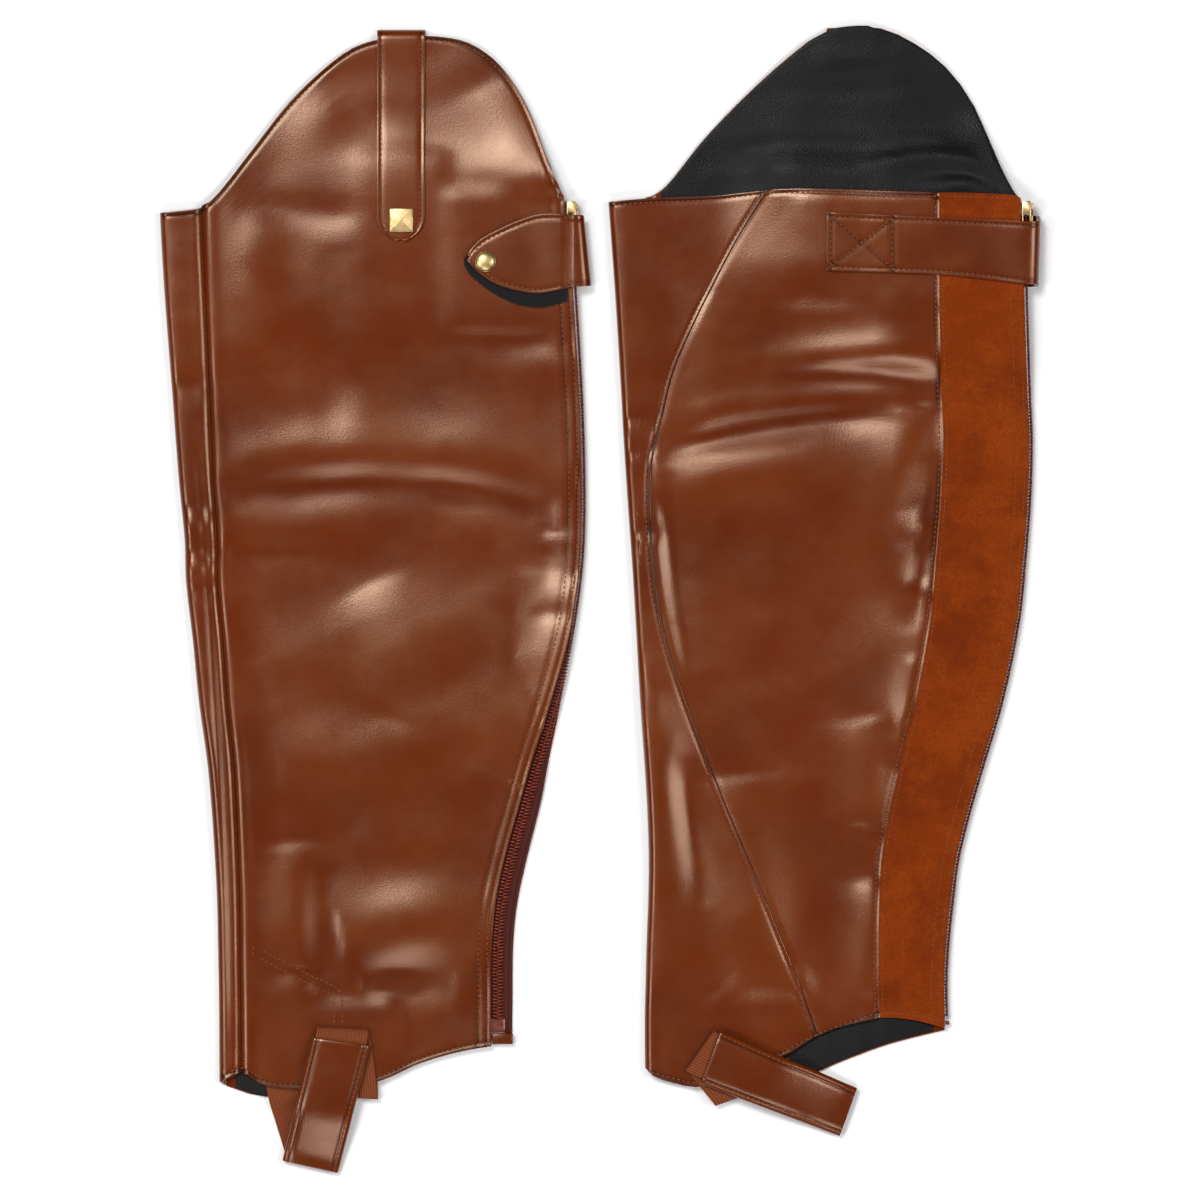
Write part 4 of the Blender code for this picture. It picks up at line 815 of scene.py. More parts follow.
def declare(points, closed=False):
    """Works out the area of a sheet of points, and gives nothing back."""
    ring = np.concatenate([points, points[:, :1]], axis=1) if closed else points
    side_a = ring[1:, :-1] - ring[:-1, :-1]
    side_b = ring[:-1, 1:] - ring[:-1, :-1]
    side_c = ring[1:, :-1] - ring[1:, 1:]
    side_d = ring[:-1, 1:] - ring[1:, 1:]
    area = np.linalg.norm(np.cross(side_a, side_b), axis=2).sum() / 2
    area += np.linalg.norm(np.cross(side_c, side_d), axis=2).sum() / 2


def trees_of(*names):
    """Search trees of finished pieces, by name."""
    graph = bpy.context.evaluated_depsgraph_get()
    graph.update()
    return [BVHTree.FromObject(bpy.data.objects[name], graph) for name in names]


def surface_at(trees, x, y, below=False):
    """The outermost spot and normal of some pieces above (or below) a place, in metres."""
    best = None
    start = Vector((x, y, -0.05 if below else 0.1))
    way = Vector((0, 0, 1 if below else -1))
    for tree in trees:
        spot, normal, _, _ = tree.ray_cast(start, way)
        if spot is None:
            continue
        if best is None or (spot.z < best[0].z) == below:
            best = (spot, normal)
    return best


def resting_heights(trees, points, reach):
    """The surface's height in millimetres over an array of points, the most within a reach."""
    flat = points.reshape(-1, 3)
    found = np.zeros(len(flat))
    for i, (x, y, _) in enumerate(flat):
        for step_x, step_y in ((0, 0), (reach, 0), (-reach, 0), (0, reach), (0, -reach)):
            hit = surface_at(trees, x + step_x * MM, y + step_y * MM)
            if hit:
                found[i] = max(found[i], hit[0].z / MM)
    return found.reshape(points.shape[:2])


def box(name, low, high, bevel):
    """A block between two corners in millimetres, with rounded edges."""
    clear_selection()
    low, high = Vector(low) * MM, Vector(high) * MM
    bpy.ops.mesh.primitive_cube_add(size=1, location=(low + high) / 2, scale=high - low)
    piece = bpy.context.active_object
    piece.name = name
    bpy.ops.object.transform_apply(location=True, rotation=True, scale=True)
    if bevel:
        apply_bevel(piece, bevel)
    return piece


def bar(name, spot, radius, length, sides=24, bevel=0.0):
    """A round bar along Z at a place in millimetres."""
    clear_selection()
    bpy.ops.mesh.primitive_cylinder_add(
        vertices=sides, radius=radius * MM, depth=length * MM, location=Vector(spot) * MM
    )
    piece = bpy.context.active_object
    piece.name = name
    bpy.ops.object.transform_apply(location=True, rotation=True, scale=True)
    if bevel:
        apply_bevel(piece, bevel)
    return piece


def apply_bevel(piece, width, segments=3):
    bpy.context.view_layer.objects.active = piece
    bevel = piece.modifiers.new("Edge", "BEVEL")
    bevel.width = width * MM
    bevel.segments = segments
    bevel.limit_method = "ANGLE"
    bpy.ops.object.modifier_apply(modifier=bevel.name)


def combine(piece, tool, how):
    """Applies a boolean with another piece, which is used up."""
    clear_selection()
    bpy.context.view_layer.objects.active = piece
    boolean = piece.modifiers.new(how.title(), "BOOLEAN")
    boolean.operation = how
    boolean.object = tool
    boolean.solver = "EXACT"
    bpy.ops.object.modifier_apply(modifier=boolean.name)
    bpy.data.objects.remove(tool, do_unlink=True)


def smooth(piece, degrees=35):
    choose(piece)
    bpy.ops.object.shade_smooth_by_angle(angle=math.radians(degrees))


# Panels, linings and edges


def shin_leather(side, step, material):
    """The front panel: from the lower wall's seam, round the fold, to the upper wall's seam."""
    gaiter = GAITERS[side]
    radius = EDGE_GAP / 2
    close = EDGE_STEPS[:9]

    def column(face, share, inset):
        def place(h):
            start = gaiter.fold(h) + LEATHER + radius
            end = gaiter.seam(face, h) - SEAM / 2
            return end - inset if inset is not None else mix(start, end - close[-1], share)

        return place

    def stations(face, coarse):
        rows = CREASE_SEAM if face == "lateral" else CURVED_SEAM
        room = read(rows, "away", np.arange(0, PANEL_TOP + 1, 20))
        count = max(int(np.mean(room) / coarse), 3)
        wide = [column(face, i / count, None) for i in range(count + 1)]
        return wide + [column(face, None, inset) for inset in close[:-1][::-1]]

    # Painted light and shade go on the fold and the upper wall's columns; the lower wall's columns
    # get none.
    columns, worn = [], []
    for place in stations(gaiter.lower, 2 * step)[:0:-1]:
        rims = gaiter.hem(gaiter.lower, place(0.0)), gaiter.top(gaiter.lower, place(PANEL_TOP))
        h = gaiter.heights(*rims, step)[:, 0]
        x = place(h)
        columns.append(gaiter.world(x, h, gaiter.lower_top(x, h) + gaiter.tucked(x, h)))
        worn.append(0 * h)
    for angle in np.radians(np.linspace(-90, 90, ARC_STEPS + 1)):
        face = gaiter.upper if angle >= 0 else gaiter.lower
        out = (radius + LEATHER) * (1 - math.cos(angle))
        rims = gaiter.hem(face, gaiter.fold(0.0) + out), gaiter.top(face, out)
        h = gaiter.heights(*rims, step)[:, 0]
        centre = gaiter.fold(h) + LEATHER + radius
        low, high = gaiter.lower_top(centre, h), gaiter.upper_inside(centre, h)
        x = centre - radius * math.cos(angle)
        columns.append(gaiter.world(x, h, mix(low, high, (1 + math.sin(angle)) / 2)))
        worn.append(gaiter.worn(centre, h))
    for place in stations(gaiter.upper, step)[1:]:
        rims = gaiter.hem(gaiter.upper, place(0.0)), gaiter.top(gaiter.upper, place(PANEL_TOP))
        h = gaiter.heights(*rims, step)[:, 0]
        x = place(h)
        columns.append(gaiter.world(x, h, gaiter.upper_inside(x, h)))
        worn.append(gaiter.worn(x, h))
    rows = min(len(column) for column in columns)
    if any(len(column) != rows for column in columns):
        columns = [resampled(column, rows) for column in columns]
        worn = [resampled(values[:, None], rows)[:, 0] for values in worn]
    points = np.stack(columns, axis=1)
    piece = cloth(side + "_shin_leather", points, LEATHER, np.stack(worn, axis=1))
    finish(piece, material, "leather", "gaiters", side + "_shin_panel")
    declare(points)


def resampled(values, count):
    """The same run of values with another number of steps, keeping its ends."""
    at = np.linspace(0, len(values) - 1, count)
    return np.stack([np.interp(at, np.arange(len(values)), part) for part in values.T], axis=1)


def wall_leather(side, kind, step, material):
    """A panel of one wall, from edge to edge."""
    gaiter = GAITERS[side]
    name, node, face, slot = WALL_PANELS[kind]
    upper = face == gaiter.upper
    zip_edge = functools.partial(gaiter.panel_edge, gaiter.wall(face))
    left, right = {
        "lateral": (lambda h: gaiter.seam(face, h) + SEAM / 2, zip_edge),
        "medial": (
            lambda h: gaiter.seam(face, h) + SEAM / 2,
            lambda h: gaiter.suede(h) - SEAM / 2,
        ),
        "suede": (lambda h: gaiter.suede(h) + SEAM / 2, zip_edge),
    }[kind]
    x, h = gaiter.grid(face, left, right, step if upper else 2 * step)
    z = gaiter.upper_inside(x, h) if upper else gaiter.under(x, h)
    points = gaiter.world(x, h, z)
    # Painted light and shade on the upper wall only; the lower wall gets none.
    worn = gaiter.worn(x, h) if upper else 0 * x
    piece = cloth(f"{side}_{name}", points, LEATHER, worn)
    finish(piece, material, slot, "gaiters", f"{side}_{node}")
    declare(points)


def raised_lining(side, step, material):
    """Lining of the raised top, on the lateral panel's inner face from just inside the tube."""
    gaiter = GAITERS[side]
    wall = gaiter.wall("lateral")
    x, h = gaiter.grid(
        "lateral",
        lambda h: gaiter.seam("lateral", h) + 5,
        lambda h: gaiter.panel_edge(wall, h),
        step,
    )
    rows = h[:, 0] >= SHOULDER + 2
    x, h = x[rows], h[rows]
    reach = (gaiter.edge_top("lateral", x[-1]) - RIM_INSET - SHOULDER) / (h[-1] - SHOULDER)
    h = SHOULDER + (h - SHOULDER) * reach
    if wall == "upper":
        z = gaiter.upper_inside(x, h) - LINING_GAP - LINING
    else:
        rim = gaiter.from_top("lateral", x, h)
        on_tab = np.abs(x - TAB_MIDDLE)
        h = h + TAB_BULGE * bell(np.maximum(rim, 0), 1.5) * (on_tab < TAB_COVER)
        wrinkles = sum(crease_rise(crease, x, h) for crease in LINING_CREASES)
        z = gaiter.lower_top(x, h) + 0.5 + 0.18 * ripple(x, h, 30.0, 11) + wrinkles
        z = z - 0.3 * bell(rim, 0.9)
        z = z + STEP_RISE * ease((STEP_AT - rim) / 1.2) * ease((STEP_HALF - on_tab) / 1.5)
    points = gaiter.world(x, h, z)
    piece = cloth(side + "_raised_lining", points, LINING)
    finish(piece, material, "lining", "gaiters", side + "_top_lining")
    declare(points)


def hem_lining_cloth(side, step, material):
    """Lining of the lower wall where it shows below the upper wall's hem."""
    gaiter = GAITERS[side]
    start, end = gaiter.fold(0.0) + 8, gaiter.zip(20.0) - 8
    x = np.linspace(start, end, int((end - start) / step))[None, :]
    inset = np.array(HEM_LINING_ROWS)[:, None]
    h = gaiter.hem(gaiter.lower, x) + inset
    x = np.broadcast_to(x, h.shape)
    z = gaiter.lower_top(x, h) + SEAM + 0.1 * ripple(x, h, 12.0, 4)
    points = gaiter.world(x, h, z)
    piece = cloth(side + "_hem_lining_cloth", points, LINING - 0.1)
    finish(piece, material, "lining", "gaiters", side + "_hem_lining")
    declare(points)


# Zips


def coil_line(gaiter, h):
    """Middle of the zip's coil at heights, and the turn of its width, flat or on edge."""
    zip_x, lie = gaiter.zip(h), gaiter.lie(h)
    turn = np.radians(90 + COIL_LEAN * lie)
    half = COIL_WIDE / 2
    edge = read(ZIPS[gaiter.side], "upper_edge", h)
    setback = np.where(h < SHOULDER, edge, 2.5)
    reach = np.abs(half * np.cos(turn)) + COIL_THICK / 2 * np.sin(turn)
    base = gaiter.lift(zip_x - 4, h)
    deep = half * np.sin(turn) + COIL_THICK / 2 * np.abs(np.cos(turn))
    clear = np.maximum(
        mix(COIL_RISE, LAID_RISE, lie), LEATHER + 1.2 + 1.5 * ease(2 * lie - 1) + deep
    )
    height = base + mix(COIL_RISE, clear, np.minimum(lie * 5, 1))
    return zip_x - setback + 0.4 + reach, height, turn


def zip_cloth(side, step, material):
    """The tape: sewn under the upper wall's edge, behind the coil and onto the lower wall."""
    gaiter = GAITERS[side]
    h = np.arange(ZIP_FOOT[side], ZIP_HEAD, step)
    zip_x, lie = gaiter.zip(h), gaiter.lie(h)
    centre_x, centre_z, turn = coil_line(gaiter, h)
    room = 0.5 + 0.6 * np.sin(math.pi * lie)
    back = COIL_THICK / 2 + room + TAPE / 2
    behind_x, behind_z = centre_x - np.sin(turn) * back, centre_z + np.cos(turn) * back
    reach = mix(0.4, COIL_WIDE / 2, lie)
    edge = gaiter.panel_edge("upper", h)
    floor = gaiter.lower_top(zip_x - 6, h) + SEAM + TAPE / 2
    over = ease(2 * lie - 1)
    tip = zip_x - mix(3.0, 1.2, over) - 1.4 * np.sin(math.pi * lie)
    turned = floor + mix(0.6, 1.2, over)
    low_z = np.maximum(behind_z - np.sin(turn) * reach, turned + 0.25)
    sewn_z = gaiter.upper_inside(edge, h) - TAPE_BELOW
    high_z = np.minimum(behind_z + np.sin(turn) * reach, sewn_z)
    profile = [
        (zip_x - TAPE_IN, gaiter.lower_top(zip_x - TAPE_IN, h) + SEAM + TAPE / 2),
        (tip - 1.6, floor),
        (tip - 0.5, floor),
        (tip, floor + mix(0.3, 0.6, over)),
        (tip - 0.4 * over, turned),
        (behind_x - np.cos(turn) * reach, low_z),
        (behind_x + np.cos(turn) * reach, high_z),
        *((edge - sewn, gaiter.upper_inside(edge - sewn, h) - TAPE_BELOW) for sewn in TAPE_SEWN),
    ]
    points = np.stack([gaiter.world(x, h, z) for x, z in profile], axis=1)
    piece = cloth(side + "_zip_cloth", points, TAPE, offset=0.0, rim=0.0)
    finish(piece, material, "zip", "gaiters", side + "_zip_tape")
    declare(points)


def pill(length, radius, sides, sink):
    """A short rod along X with narrowed ends that dip, as points and faces."""
    profile = ((-0.5, 0.4, -sink), (-0.28, 1.0, 0.0), (0.28, 1.0, 0.0), (0.5, 0.4, -sink))
    angles = np.arange(sides) * 2 * math.pi / sides
    points = [
        (length * x, radius * wide * math.cos(a), radius * wide * math.sin(a) + drop * radius)
        for x, wide, drop in profile
        for a in angles
    ]
    faces = [list(face) for face in quads(len(profile), sides, closed=True)]
    last = (len(profile) - 1) * sides
    return np.array(points), faces, (list(range(sides))[::-1], list(range(last, last + sides)))


def copies(name, shape, spots, ways, ups):
    """One mesh of many copies of a small shape, each at a spot, along a way, with an up side."""
    base, faces, caps = shape
    ways = ways / np.linalg.norm(ways, axis=1, keepdims=True)
    ups = ups - (ups * ways).sum(axis=1, keepdims=True) * ways
    ups = ups / np.linalg.norm(ups, axis=1, keepdims=True)
    sides = np.cross(ups, ways)
    points = (
        spots[:, None, :]
        + base[None, :, :1] * ways[:, None, :]
        + base[None, :, 1:2] * sides[:, None, :]
        + base[None, :, 2:] * ups[:, None, :]
    )
    count = len(base)
    all_faces = []
    for i in range(len(spots)):
        for face in faces + list(caps):
            all_faces.append([k + i * count for k in face])
    return mesh_piece(name, points, all_faces)


def coil_loops(side, material):
    """Both rows of the coil's loops, meshed together along the zip."""
    gaiter = GAITERS[side]
    h = np.arange(ZIP_FOOT[side] + 2, COIL_HEAD, COIL_PITCH / 2)
    x, z, turn = coil_line(gaiter, h)
    middle = gaiter.world(x, h, z)
    ways = np.stack([np.cos(turn), 0 * turn, np.sin(turn)], axis=1)
    outs = np.stack([np.sin(turn), 0 * turn, -np.cos(turn)], axis=1)
    row = np.where(np.arange(len(h)) % 2 == 0, -1.0, 1.0)[:, None]
    shift = row * COIL_OVERLAP * MM
    ways = ways + row * LOOP_LEAN * np.array([[0.0, 1.0, 0.0]])
    shape = pill(COIL_LOOP * MM, COIL_WIRE * MM, 6, 1.1)
    piece = copies(side + "_coil_loops", shape, middle + ways * shift, ways, outs)
    finish(piece, material, "zip", "gaiters", side + "_zip_coil")


def slider_frame(gaiter):
    """Where the zip line, the middle of the stack and the pivot lie, in world millimetres."""
    zip_x = float(gaiter.zip(SLIDER_FOOT + 4))
    middle = float(gaiter.lift(zip_x - 4, SLIDER_FOOT)) + COIL_RISE
    return gaiter.origin[0] + zip_x, gaiter.origin[1], middle + FLOOR


def slider_body(side, material):
    """The slider seen on edge: two plates over the coil, joined at the head, with pin lugs."""
    x, y, z = slider_frame(GAITERS[side])
    foot, head = y + SLIDER_FOOT, y + SLIDER_HEAD
    half, lug_from = SLIDER_WIDE / 2, PULL_WIDE / 2 + SEAM
    coil_in, coil_out = x - COIL_THICK - 0.8, x + 0.2
    name = side + "_slider_body"
    piece = box(name, (coil_in - PLATE, foot, z - half), (coil_out + PLATE, head, z + half), 0.0)
    slot = box(
        name + "_slot",
        (coil_in, foot - 1, z - half - 1),
        (coil_out, head - SLIDER_POST, z + half + 1),
        0,
    )
    combine(piece, slot, "DIFFERENCE")
    apply_bevel(piece, 0.3, 2)
    for low in (z - lug_from - LUG, z + lug_from):
        lug = box(
            name + "_lug",
            (coil_out + 0.1, y + PIN_HEIGHT - 1.5, low),
            (x + PIN_OUT + 1.0, y + PIN_HEIGHT + 1.5, low + LUG),
            0.2,
        )
        combine(piece, lug, "UNION")
    recess = box(
        name + "_recess",
        (x + PIN_OUT - EYE_RADIUS - SEAM, y + PIN_HEIGHT - EYE_RADIUS - SEAM, z - lug_from),
        (x + PIN_OUT + 4, head + 1, z + lug_from),
        0,
    )
    combine(piece, recess, "DIFFERENCE")
    pin = bar(name + "_pin", (x + PIN_OUT, y + PIN_HEIGHT, z), PIN_RADIUS, 2 * lug_from + LUG)
    combine(piece, pin, "UNION")
    smooth(piece)
    finish(piece, material, "gold", "gaiters", side + "_zip_slider")


def pull_tab(side, material):
    """The pull: an eye round the slider's pin and a flat tab that hangs under the strap."""
    x, y, z = slider_frame(GAITERS[side])
    outer = x + PIN_OUT + EYE_RADIUS - 0.1
    high = y + PIN_HEIGHT
    name = side + "_pull_tab"
    piece = bar(name, (x + PIN_OUT, high, z), EYE_RADIUS, PULL_WIDE, 32, 0.12)
    neck = box(
        name + "_neck",
        (outer - PULL_THICK, high - 6, z - PULL_WIDE / 2),
        (outer, high, z + PULL_WIDE / 2),
        0.1,
    )
    combine(piece, neck, "UNION")
    grip = box(
        name + "_grip",
        (outer - PULL_THICK, high - PULL_LONG, z - PULL_TAB_WIDE / 2),
        (outer, high - 4, z + PULL_TAB_WIDE / 2),
        0.18,
    )
    combine(piece, grip, "UNION")
    hole = bar(name + "_hole", (x + PIN_OUT, high, z), EYE_HOLE, PULL_WIDE + 2)
    combine(piece, hole, "DIFFERENCE")
    smooth(piece)
    finish(piece, material, "gold", side + "_pull", side + "_zip_pull")


def end_leather(side, material):
    """The little leather tab that finishes the zip's foot."""
    gaiter = GAITERS[side]
    foot, low = ZIP_FOOT[side] - 0.6, 5.2
    left, right = float(gaiter.panel_edge("upper", foot)) + 0.4, float(gaiter.zip(foot))
    if side == "right":
        left, right, low = right - 2.1, right - 0.2, 1.9
    base = float(gaiter.lower_top(right, foot)) + SEAM
    low_corner = gaiter.world(left, foot - low, base) / MM
    high_corner = gaiter.world(right, foot, base + 3.0) / MM
    piece = box(side + "_end_leather", low_corner, high_corner, 0.45)
    smooth(piece, 50)
    finish(piece, material, "leather", "gaiters", side + "_zip_end")


def tape_film(side, material):
    """The dark film that stiffens the tape's end, over the coil's foot."""
    gaiter = GAITERS[side]
    h = np.linspace(ZIP_FOOT[side] + 0.2, ZIP_FOOT[side] + 6.4, 5)
    x, z, turn = coil_line(gaiter, h)
    share = np.linspace(-1, 1, 7)[None, :]
    wide = COIL_WIDE * 0.62
    across = x[:, None] + np.cos(turn)[:, None] * share * wide
    up = z[:, None] + np.sin(turn)[:, None] * share * wide + COIL_THICK * 0.35
    points = gaiter.world(across, h[:, None], up)[:, ::-1]
    piece = cloth(side + "_tape_film", points, 0.3)
    finish(piece, material, "zip", "gaiters")


# Straps, tabs and metal


def band_table(table, reverse):
    rows = sorted(table, key=lambda row: -row.from_zip if reverse else row.from_zip)
    return smoothed([tuple(row) for row in rows], 16)


def strap_parts(side):
    """Plan points of the strap's lower leg and its upper leg, rows of places across it."""
    flap_low = GAITERS[side].upper == "medial"
    low, high = (FLAP, SEWN_LEG) if flap_low else (SEWN_LEG, FLAP)
    near = float(GAITERS[side].zip(SHOULDER))
    share = np.array(STRAP_SHARES)[None, :]
    legs = []
    for table, reverse in ((low, True), (high, False)):
        away, top, bottom = band_table(table, reverse)
        h = mix(bottom[:, None], top[:, None], share)
        legs.append((np.broadcast_to(near - away[:, None], h.shape), h))
    return near, legs


def strap_leather(side, material):
    """The closing strap: its sewn leg on the medial face, a turn round the zip, and the flap."""
    gaiter = GAITERS[side]
    near, ((low_x, low_h), (high_x, high_h)) = strap_parts(side)
    flap_low = gaiter.upper == "medial"
    shares = np.array(STRAP_SHARES)
    low_z = np.full(low_x.shape, SNAP_HIGH + SEAM + STRAP if flap_low else STRAP)
    under = [f"{side}_{gaiter.upper}_leather"]
    under.append(side + ("_calf_suede" if flap_low else "_felt_piece"))
    trees = trees_of(*under)
    spots = gaiter.world(high_x, high_h, 0)
    level = resting_heights(trees, spots, 1.5).max(axis=1) - FLOOR + 0.15
    level = np.maximum.accumulate(level[::-1])[::-1] if flap_low else level
    level = np.convolve(np.pad(level, 4, mode="edge"), np.ones(9) / 9, mode="valid")
    level = np.maximum(level, np.median(level) - 0.6)
    high_z = np.broadcast_to(level[:, None], high_x.shape)
    reach = near + mix(*TURN_REACH[side], shares) - STRAP
    turn_x, turn_h, turn_z = [], [], []
    for angle in np.linspace(0, math.pi, TURN_STEPS + 1)[1:-1]:
        out = math.sin(angle) ** TURN_BOXED
        up = (1 - math.copysign(abs(math.cos(angle)) ** TURN_BOXED, math.cos(angle))) / 2
        start = mix(low_x[-1], high_x[0], up)
        turn_x.append(start + (reach - start) * out)
        turn_h.append(mix(low_h[-1], high_h[0], up))
        turn_z.append(mix(low_z[-1], high_z[0], up))
    x = np.vstack([low_x, turn_x, high_x])
    h = np.vstack([low_h, turn_h, high_h])
    z = np.vstack([low_z, turn_z, high_z])
    wide = (h[:, -1] - h[:, 0])[:, None]
    rows = [shares * wide - STRAP_ROW, (1 - shares) * wide - STRAP_ROW]
    if flap_low:
        out = x - x.min(axis=0)[None, :]
        cross = (out - STRAP_ROW) * (wide - 2 * STRAP_ROW) / BOX_WIDE
        sewn = np.where((out < BOX_WIDE + STRAP_ROW + 1) & (z > z.mean()), 0.0, NO_ROW)
        rows += [out - STRAP_ROW + sewn, out - STRAP_ROW - BOX_WIDE + sewn]
        rows += [0.7 * (row - cross) + sewn for row in rows[:2]]
    else:
        crest = FLAP_CREST * np.maximum(0, np.sin(math.pi * shares))[None, :]
        z = z + crest * (z > STRAP + 1)
    sunk = np.minimum(sum(bell(row, ROW_WIDE) for row in rows), 1)
    z = z - CHANNEL * sunk * (z > STRAP + 1)
    points = gaiter.world(x, h, z)
    # Painted shade along the strap's stitched rows.
    piece = cloth(side + "_strap_leather", points, STRAP, -sunk, rim=0.5)
    finish(piece, material, "leather", "gaiters", side + "_strap")
    declare(points)


def felt_piece(side, material):
    """The felt patch under the flap, on the lateral panel's outer face."""
    gaiter = GAITERS[side]
    below = gaiter.upper == "medial"
    away, top, bottom = band_table(FELT, not below)
    share = np.array(STRAP_SHARES)[None, :]
    h = mix(bottom[:, None], top[:, None], share)
    x = np.broadcast_to(float(gaiter.zip(SHOULDER)) - away[:, None], h.shape)
    if below:
        z = np.full(x.shape, FLAP_LIFT - SEAM - PATCH)
        x, h = x[::-1], h[::-1]
    else:
        trees = trees_of(side + "_lateral_leather")
        found = resting_heights(trees, gaiter.world(x, h, 0), 1.0)
        z = np.broadcast_to(found.max(axis=1)[:, None], x.shape) - FLOOR + REST_GAP
    points = gaiter.world(x, h, z)
    if x[0, 0] > x[-1, 0]:
        points = points[::-1]
    piece = cloth(side + "_felt_piece", points[:, ::-1], PATCH, rim=0.3)
    finish(piece, material, "felt", "gaiters", side + "_strap_patch")
    declare(points)


def top_tab_leather(side, material):
    """The tab down the middle of the raised top, turned over its edge, with a round end."""
    gaiter = GAITERS[side]
    size = TABS[side]
    below = gaiter.upper == "medial"
    radius = (size.right - size.left) / 2
    middle = (size.right + size.left) / 2 + 0.2
    turns = np.radians(TAB_TURNS)
    h = np.concatenate(
        [TAB_END - radius * np.sin(turns), np.linspace(TAB_END, size.height - 2, 30)[1:]]
    )
    half = np.concatenate([radius * np.cos(turns), np.full(29, radius)])
    share = np.array(TAB_SHARES)
    share = np.concatenate([-share[:0:-1], share])[None, :]
    sunk = bell((1 - np.abs(share)) * radius - TAB_ROW, ROW_WIDE)
    x = middle + share * half[:, None]
    h = np.broadcast_to(h[:, None], x.shape)
    if below:
        z = gaiter.lift(x, h) - SEAM - TAB
    else:
        trees = trees_of(side + "_lateral_leather")
        found = resting_heights(trees, gaiter.world(x, h, 0), 1.0)
        z = np.broadcast_to(found.max(axis=1)[:, None], x.shape) - FLOOR + REST_GAP
        z = z + TAB_CREST * (1 - share**2) - CHANNEL * sunk
    angles = np.radians(np.linspace(0, 90, 5)[1:])
    turn_x = np.vstack([x[-1]] * 5)
    reach = 1.6 if below else 3.2
    out = np.concatenate([size.height - 2 + reach * np.sin(angles), [size.height - 2 + reach]])
    drop = np.concatenate([(1 - np.cos(angles)) * 0.4, [1.0]])
    turn_h = np.broadcast_to(out[:, None], turn_x.shape)
    turn_z = mix(z[-1][None, :], LEATHER if below else 0.2, drop[:, None])
    x, h, z = np.vstack([x, turn_x]), np.vstack([h, turn_h]), np.vstack([z, turn_z])
    points = gaiter.world(x, h, z)
    # Painted shade along the tab's stitched row.
    piece = cloth(side + "_top_tab_leather", points, TAB, -sunk, rim=0.4)
    finish(piece, material, "leather", "gaiters", side + "_top_tab")
    declare(points)


def flip_over(piece, z):
    """Turns a piece upside down about a level line, in place, with its faces outward."""
    choose(piece)
    lift, half_turn = Matrix.Translation((0, 0, z)), Matrix.Rotation(math.pi, 4, "X")
    turned = lift @ half_turn @ Matrix.Translation((0, 0, -z))
    centre = sum((Vector(v.co) for v in piece.data.vertices), Vector()) / len(piece.data.vertices)
    shift = Matrix.Translation((0, centre.y, 0))
    piece.data.transform(shift @ turned @ shift.inverted())


def stud_metal(side, material):
    """A square pyramid stud on the tab, with a blunt tip on a thin square foot."""
    gaiter = GAITERS[side]
    below = gaiter.upper == "medial"
    x, y, _ = gaiter.world(*STUD_AT[side], 0) / MM
    base = FLOOR
    if not below:
        trees = trees_of(side + "_top_tab_leather")
        base = surface_at(trees, x * MM, y * MM)[0].z / MM + REST_GAP
    half = STUD_SIDE / 2
    low, high = (x - half, y - half, base), (x + half, y + half, base + STUD_FOOT)
    piece = box(side + "_stud_metal", low, high, 0.0)
    choose(piece)
    bpy.ops.object.mode_set(mode="EDIT")
    bpy.ops.mesh.select_mode(type="FACE")
    bpy.ops.mesh.select_all(action="DESELECT")
    bpy.ops.object.mode_set(mode="OBJECT")
    for face in piece.data.polygons:
        face.select = face.normal.z > 0.9
    bpy.ops.object.mode_set(mode="EDIT")
    bpy.ops.mesh.inset(thickness=STUD_RIM * MM, depth=0)
    bpy.ops.mesh.extrude_region_move(
        TRANSFORM_OT_translate={"value": (0, 0, (STUD_HIGH - STUD_FOOT) * MM)}
    )
    centre = (x * MM, y * MM, (base + STUD_HIGH) * MM)
    bpy.ops.transform.resize(value=(STUD_TIP, STUD_TIP, 1), center_override=centre)
    bpy.ops.object.mode_set(mode="OBJECT")
    apply_bevel(piece, 0.14, 2)
    smooth(piece, 25)
    if below:
        flip_over(piece, (base + STUD_HIGH / 2) * MM)
    finish(piece, material, "gold", "gaiters", side + "_stud")


def snap_metal(side, material):
    """The snap's cap: a low dome in a rolled ring."""
    gaiter = GAITERS[side]
    below = gaiter.upper == "medial"
    spot_x = float(gaiter.zip(SHOULDER)) - SNAP_AT[0]
    x, y, _ = gaiter.world(spot_x, SNAP_AT[1], 0) / MM
    base = FLOOR
    if not below:
        trees = trees_of(side + "_strap_leather")
        base = surface_at(trees, x * MM, y * MM)[0].z / MM + 0.02
    spot = (x, y, base + SNAP_RING / 2)
    piece = bar(side + "_snap_metal", spot, SNAP_RADIUS, SNAP_RING, 64, 0.3)
    clear_selection()
    foot = (x * MM, y * MM, (base + DOME_FOOT) * MM)
    bpy.ops.mesh.primitive_uv_sphere_add(segments=64, ring_count=24, radius=1, location=foot)
    dome = bpy.context.active_object
    dome.scale = (DOME_RADIUS * MM, DOME_RADIUS * MM, (SNAP_HIGH - DOME_FOOT) * MM)
    bpy.ops.object.transform_apply(location=True, rotation=True, scale=True)
    bpy.ops.object.mode_set(mode="EDIT")
    bpy.ops.mesh.select_all(action="SELECT")
    bpy.ops.mesh.bisect(plane_co=foot, plane_no=(0, 0, 1), use_fill=True, clear_inner=True)
    bpy.ops.object.mode_set(mode="OBJECT")
    combine(piece, dome, "UNION")
    smooth(piece, 30)
    if below:
        flip_over(piece, (base + SNAP_HIGH / 2) * MM)
    finish(piece, material, "gold", "gaiters", side + "_snap")


# The strap under the foot


